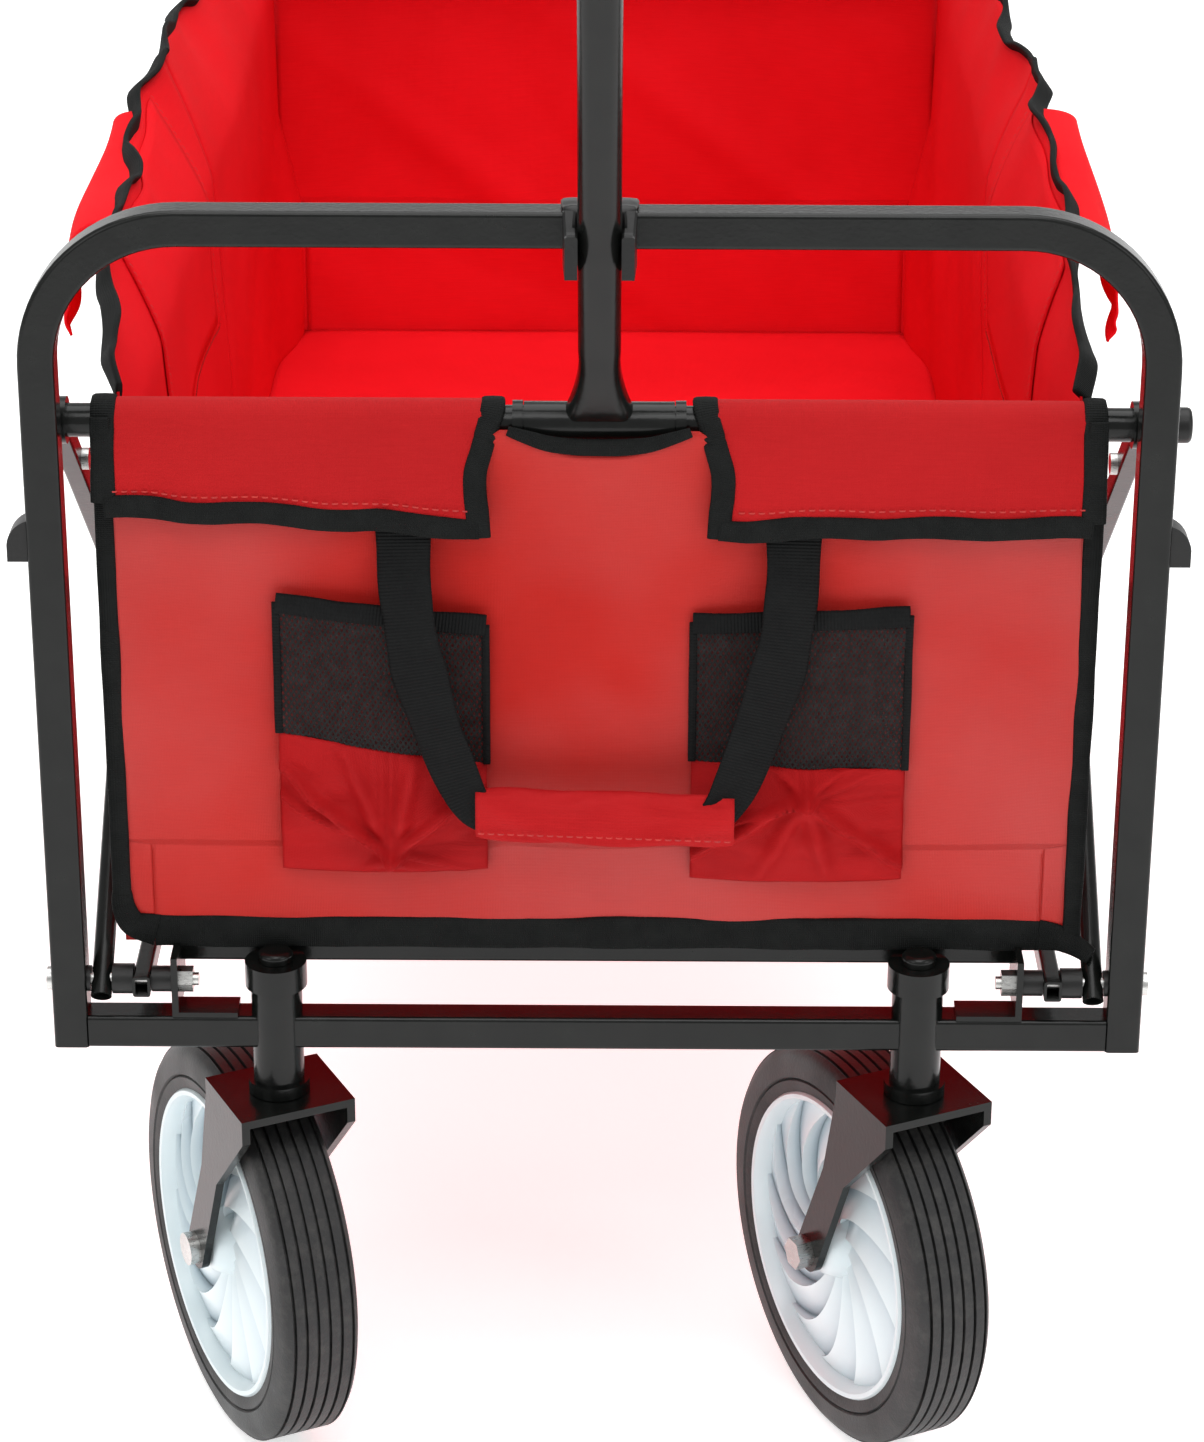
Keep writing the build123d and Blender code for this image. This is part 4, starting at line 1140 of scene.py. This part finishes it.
def ridged_clip(side):
    """One ridged wing of the clip that holds the handle."""
    verts = []
    faces = []
    bottom_z = 0.6055
    top_z = 0.6300
    bevel_z = 0.0008
    bevel_x = 0.0009
    steps = 26
    for s in range(steps + 1):
        t = s / steps
        y = -0.008 - 0.034 * t
        ridge = 0.0007 * (1 if (s % 2) else -1) if 2 < s < steps - 2 else 0
        x_in = 0.0100 + 0.0006 * math.sin(t * 3)
        if t > 0.7:
            x_in -= 0.0009
        x_out = 0.0158 - 0.0012 * t
        top = top_z - 0.0018 * t + ridge
        low = bottom_z + 0.004 * t
        outline = ((x_in, low), (x_in, top - bevel_z), (x_in + bevel_x, top),
                   (x_out - bevel_x, top), (x_out, top - bevel_z), (x_out, low))
        verts += [front(side * x, y, z) for x, z in outline]
    n = 6
    for s in range(steps):
        for a in range(n):
            b = (a + 1) % n
            faces.append((s * n + a, s * n + b, (s + 1) * n + b, (s + 1) * n + a))
    faces.append(tuple(range(n)))
    faces.append(tuple(range((steps + 1) * n - 1, steps * n - 1, -1)))
    piece = make(f"clip_wing_{name_of(side)}", verts, faces, BLACK, smooth=False)
    on(piece, "front_frame", "black_plastic", *(("handle_clip",) if side < 0 else ()))


ridged_clip(-1)
ridged_clip(1)


def saddle_look(t):
    """Which way the saddle faces: forward, then up over the bar, then backward."""
    back = 1.0
    if t < 0.3:
        back = math.cos(math.radians(-180 + 190 * t))
    elif t < 0.65:
        back = 0.0
    over_bar = 0.25 <= t <= 0.7
    return Vector((0, back, 1.0 if over_bar else 0.0))


saddle_path = [front(0, y, z) for y, z in ((-0.0095, 0.6060), (-0.0095, 0.6285), (-0.0035, 0.6296),
                                           (0.0045, 0.6296), (0.0095, 0.6275), (0.0095, 0.6140))]
saddle = tape("clip_saddle", saddle_path, 0.031, 0.0024, saddle_look, BLACK, per=4, round_=0.99)
on(saddle, "front_frame", "black_plastic")


# ---------------------------------------------------------------- floor, light and camera

def studio_floor():
    """A pale floor that curves up into a wall far behind the wagon."""
    g = Graph("studio floor")
    grain = g.noise(g.coords(), 3.0, 4)
    g.wire("Base Color", g.ramp(grain, [(0.3, (0.86, 0.86, 0.86)), (0.7, (0.90, 0.90, 0.90))]))
    g.set(Roughness=0.6, Emission_Color=(1, 1, 1, 1), Emission_Strength=0.62)
    verts = []
    faces = []
    near = -3.0
    far = 4.0
    wide = 5.0
    curve = 2.5
    flat_steps = 8
    steps = 24
    for k in range(steps + 1):
        if k < flat_steps:
            y = near + (far - near) * k / flat_steps
            z = -0.0005
        else:
            angle = math.pi / 2 * (k - flat_steps) / (steps - flat_steps)
            y = far + curve * math.sin(angle)
            z = curve - curve * math.cos(angle)
        verts += [Vector((-wide, y, z)), Vector((wide, y, z))]
    for k in range(steps):
        faces.append((2 * k, 2 * k + 1, 2 * k + 3, 2 * k + 2))
    floor = make("studio_floor", verts, faces, g.mat)


studio_floor()

# The world gives a soft light, and looks white itself wherever the camera sees past the floor.
WORLD_LIGHT = 0.55
WORLD_SEEN = 1.05
world = bpy.data.worlds.new("studio")
SCENE.world = world
world.use_nodes = True
sky = world.node_tree
sky.nodes["Background"].inputs["Color"].default_value = (1.0, 1.0, 1.0, 1)
seen = sky.nodes.new("ShaderNodeLightPath")
strength = sky.nodes.new("ShaderNodeMapRange")
strength.inputs["To Min"].default_value = WORLD_LIGHT
strength.inputs["To Max"].default_value = WORLD_SEEN
sky.links.new(seen.outputs["Is Camera Ray"], strength.inputs["Value"])
sky.links.new(strength.outputs["Result"], sky.nodes["Background"].inputs["Strength"])


def lamp(name, at, aim, size, power):
    data = bpy.data.lights.new(name, "AREA")
    data.shape = "RECTANGLE"
    data.size = size[0]
    data.size_y = size[1]
    data.energy = power
    obj = bpy.data.objects.new(name, data)
    SCENE.collection.objects.link(obj)
    obj.location = at
    obj.rotation_euler = (Vector(aim) - Vector(at)).to_track_quat("-Z", "Y").to_euler()


lamp("overhead", (0.1, 0.0, 2.6), (0, 0.1, 0.3), (2.4, 2.4), 47)
lamp("above_camera", (0.0, -1.9, 2.5), (0, 0.35, 0.35), (1.6, 0.9), 15)
lamp("front_left", (-2.0, -2.4, 1.9), (0, -0.2, 0.35), (1.4, 1.4), 12)
lamp("front_right", (2.1, -2.0, 1.5), (0, -0.2, 0.35), (1.2, 1.6), 10)

# The camera that was fitted to the photograph, placed from the front arch.
CAMERA_AT = (0.00555, -1.6791, 1.13536)
pitch = math.radians(23.92)
heading = math.radians(-0.13)
roll = math.radians(-0.24)
camera_data = bpy.data.cameras.new("camera")
camera_data.sensor_width = 36
camera_data.lens = 102.65
camera_data.clip_start = 0.05
camera = bpy.data.objects.new("camera", camera_data)
SCENE.collection.objects.link(camera)
ahead = Vector((math.sin(heading) * math.cos(pitch), math.cos(heading) * math.cos(pitch), -math.sin(pitch)))
flat_right = Vector((math.cos(heading), -math.sin(heading), 0))
flat_down = ahead.cross(flat_right)
right = math.cos(roll) * flat_right + math.sin(roll) * flat_down
down = -math.sin(roll) * flat_right + math.cos(roll) * flat_down
turn = Matrix((right, -down, -ahead)).transposed()
camera.matrix_world = Matrix.Translation(front(*CAMERA_AT)) @ turn.to_4x4()
SCENE.camera = camera
SCENE.view_settings.view_transform = "Standard"

for cad_name in nodes:
    keep_sharp(nodes[cad_name], 32)
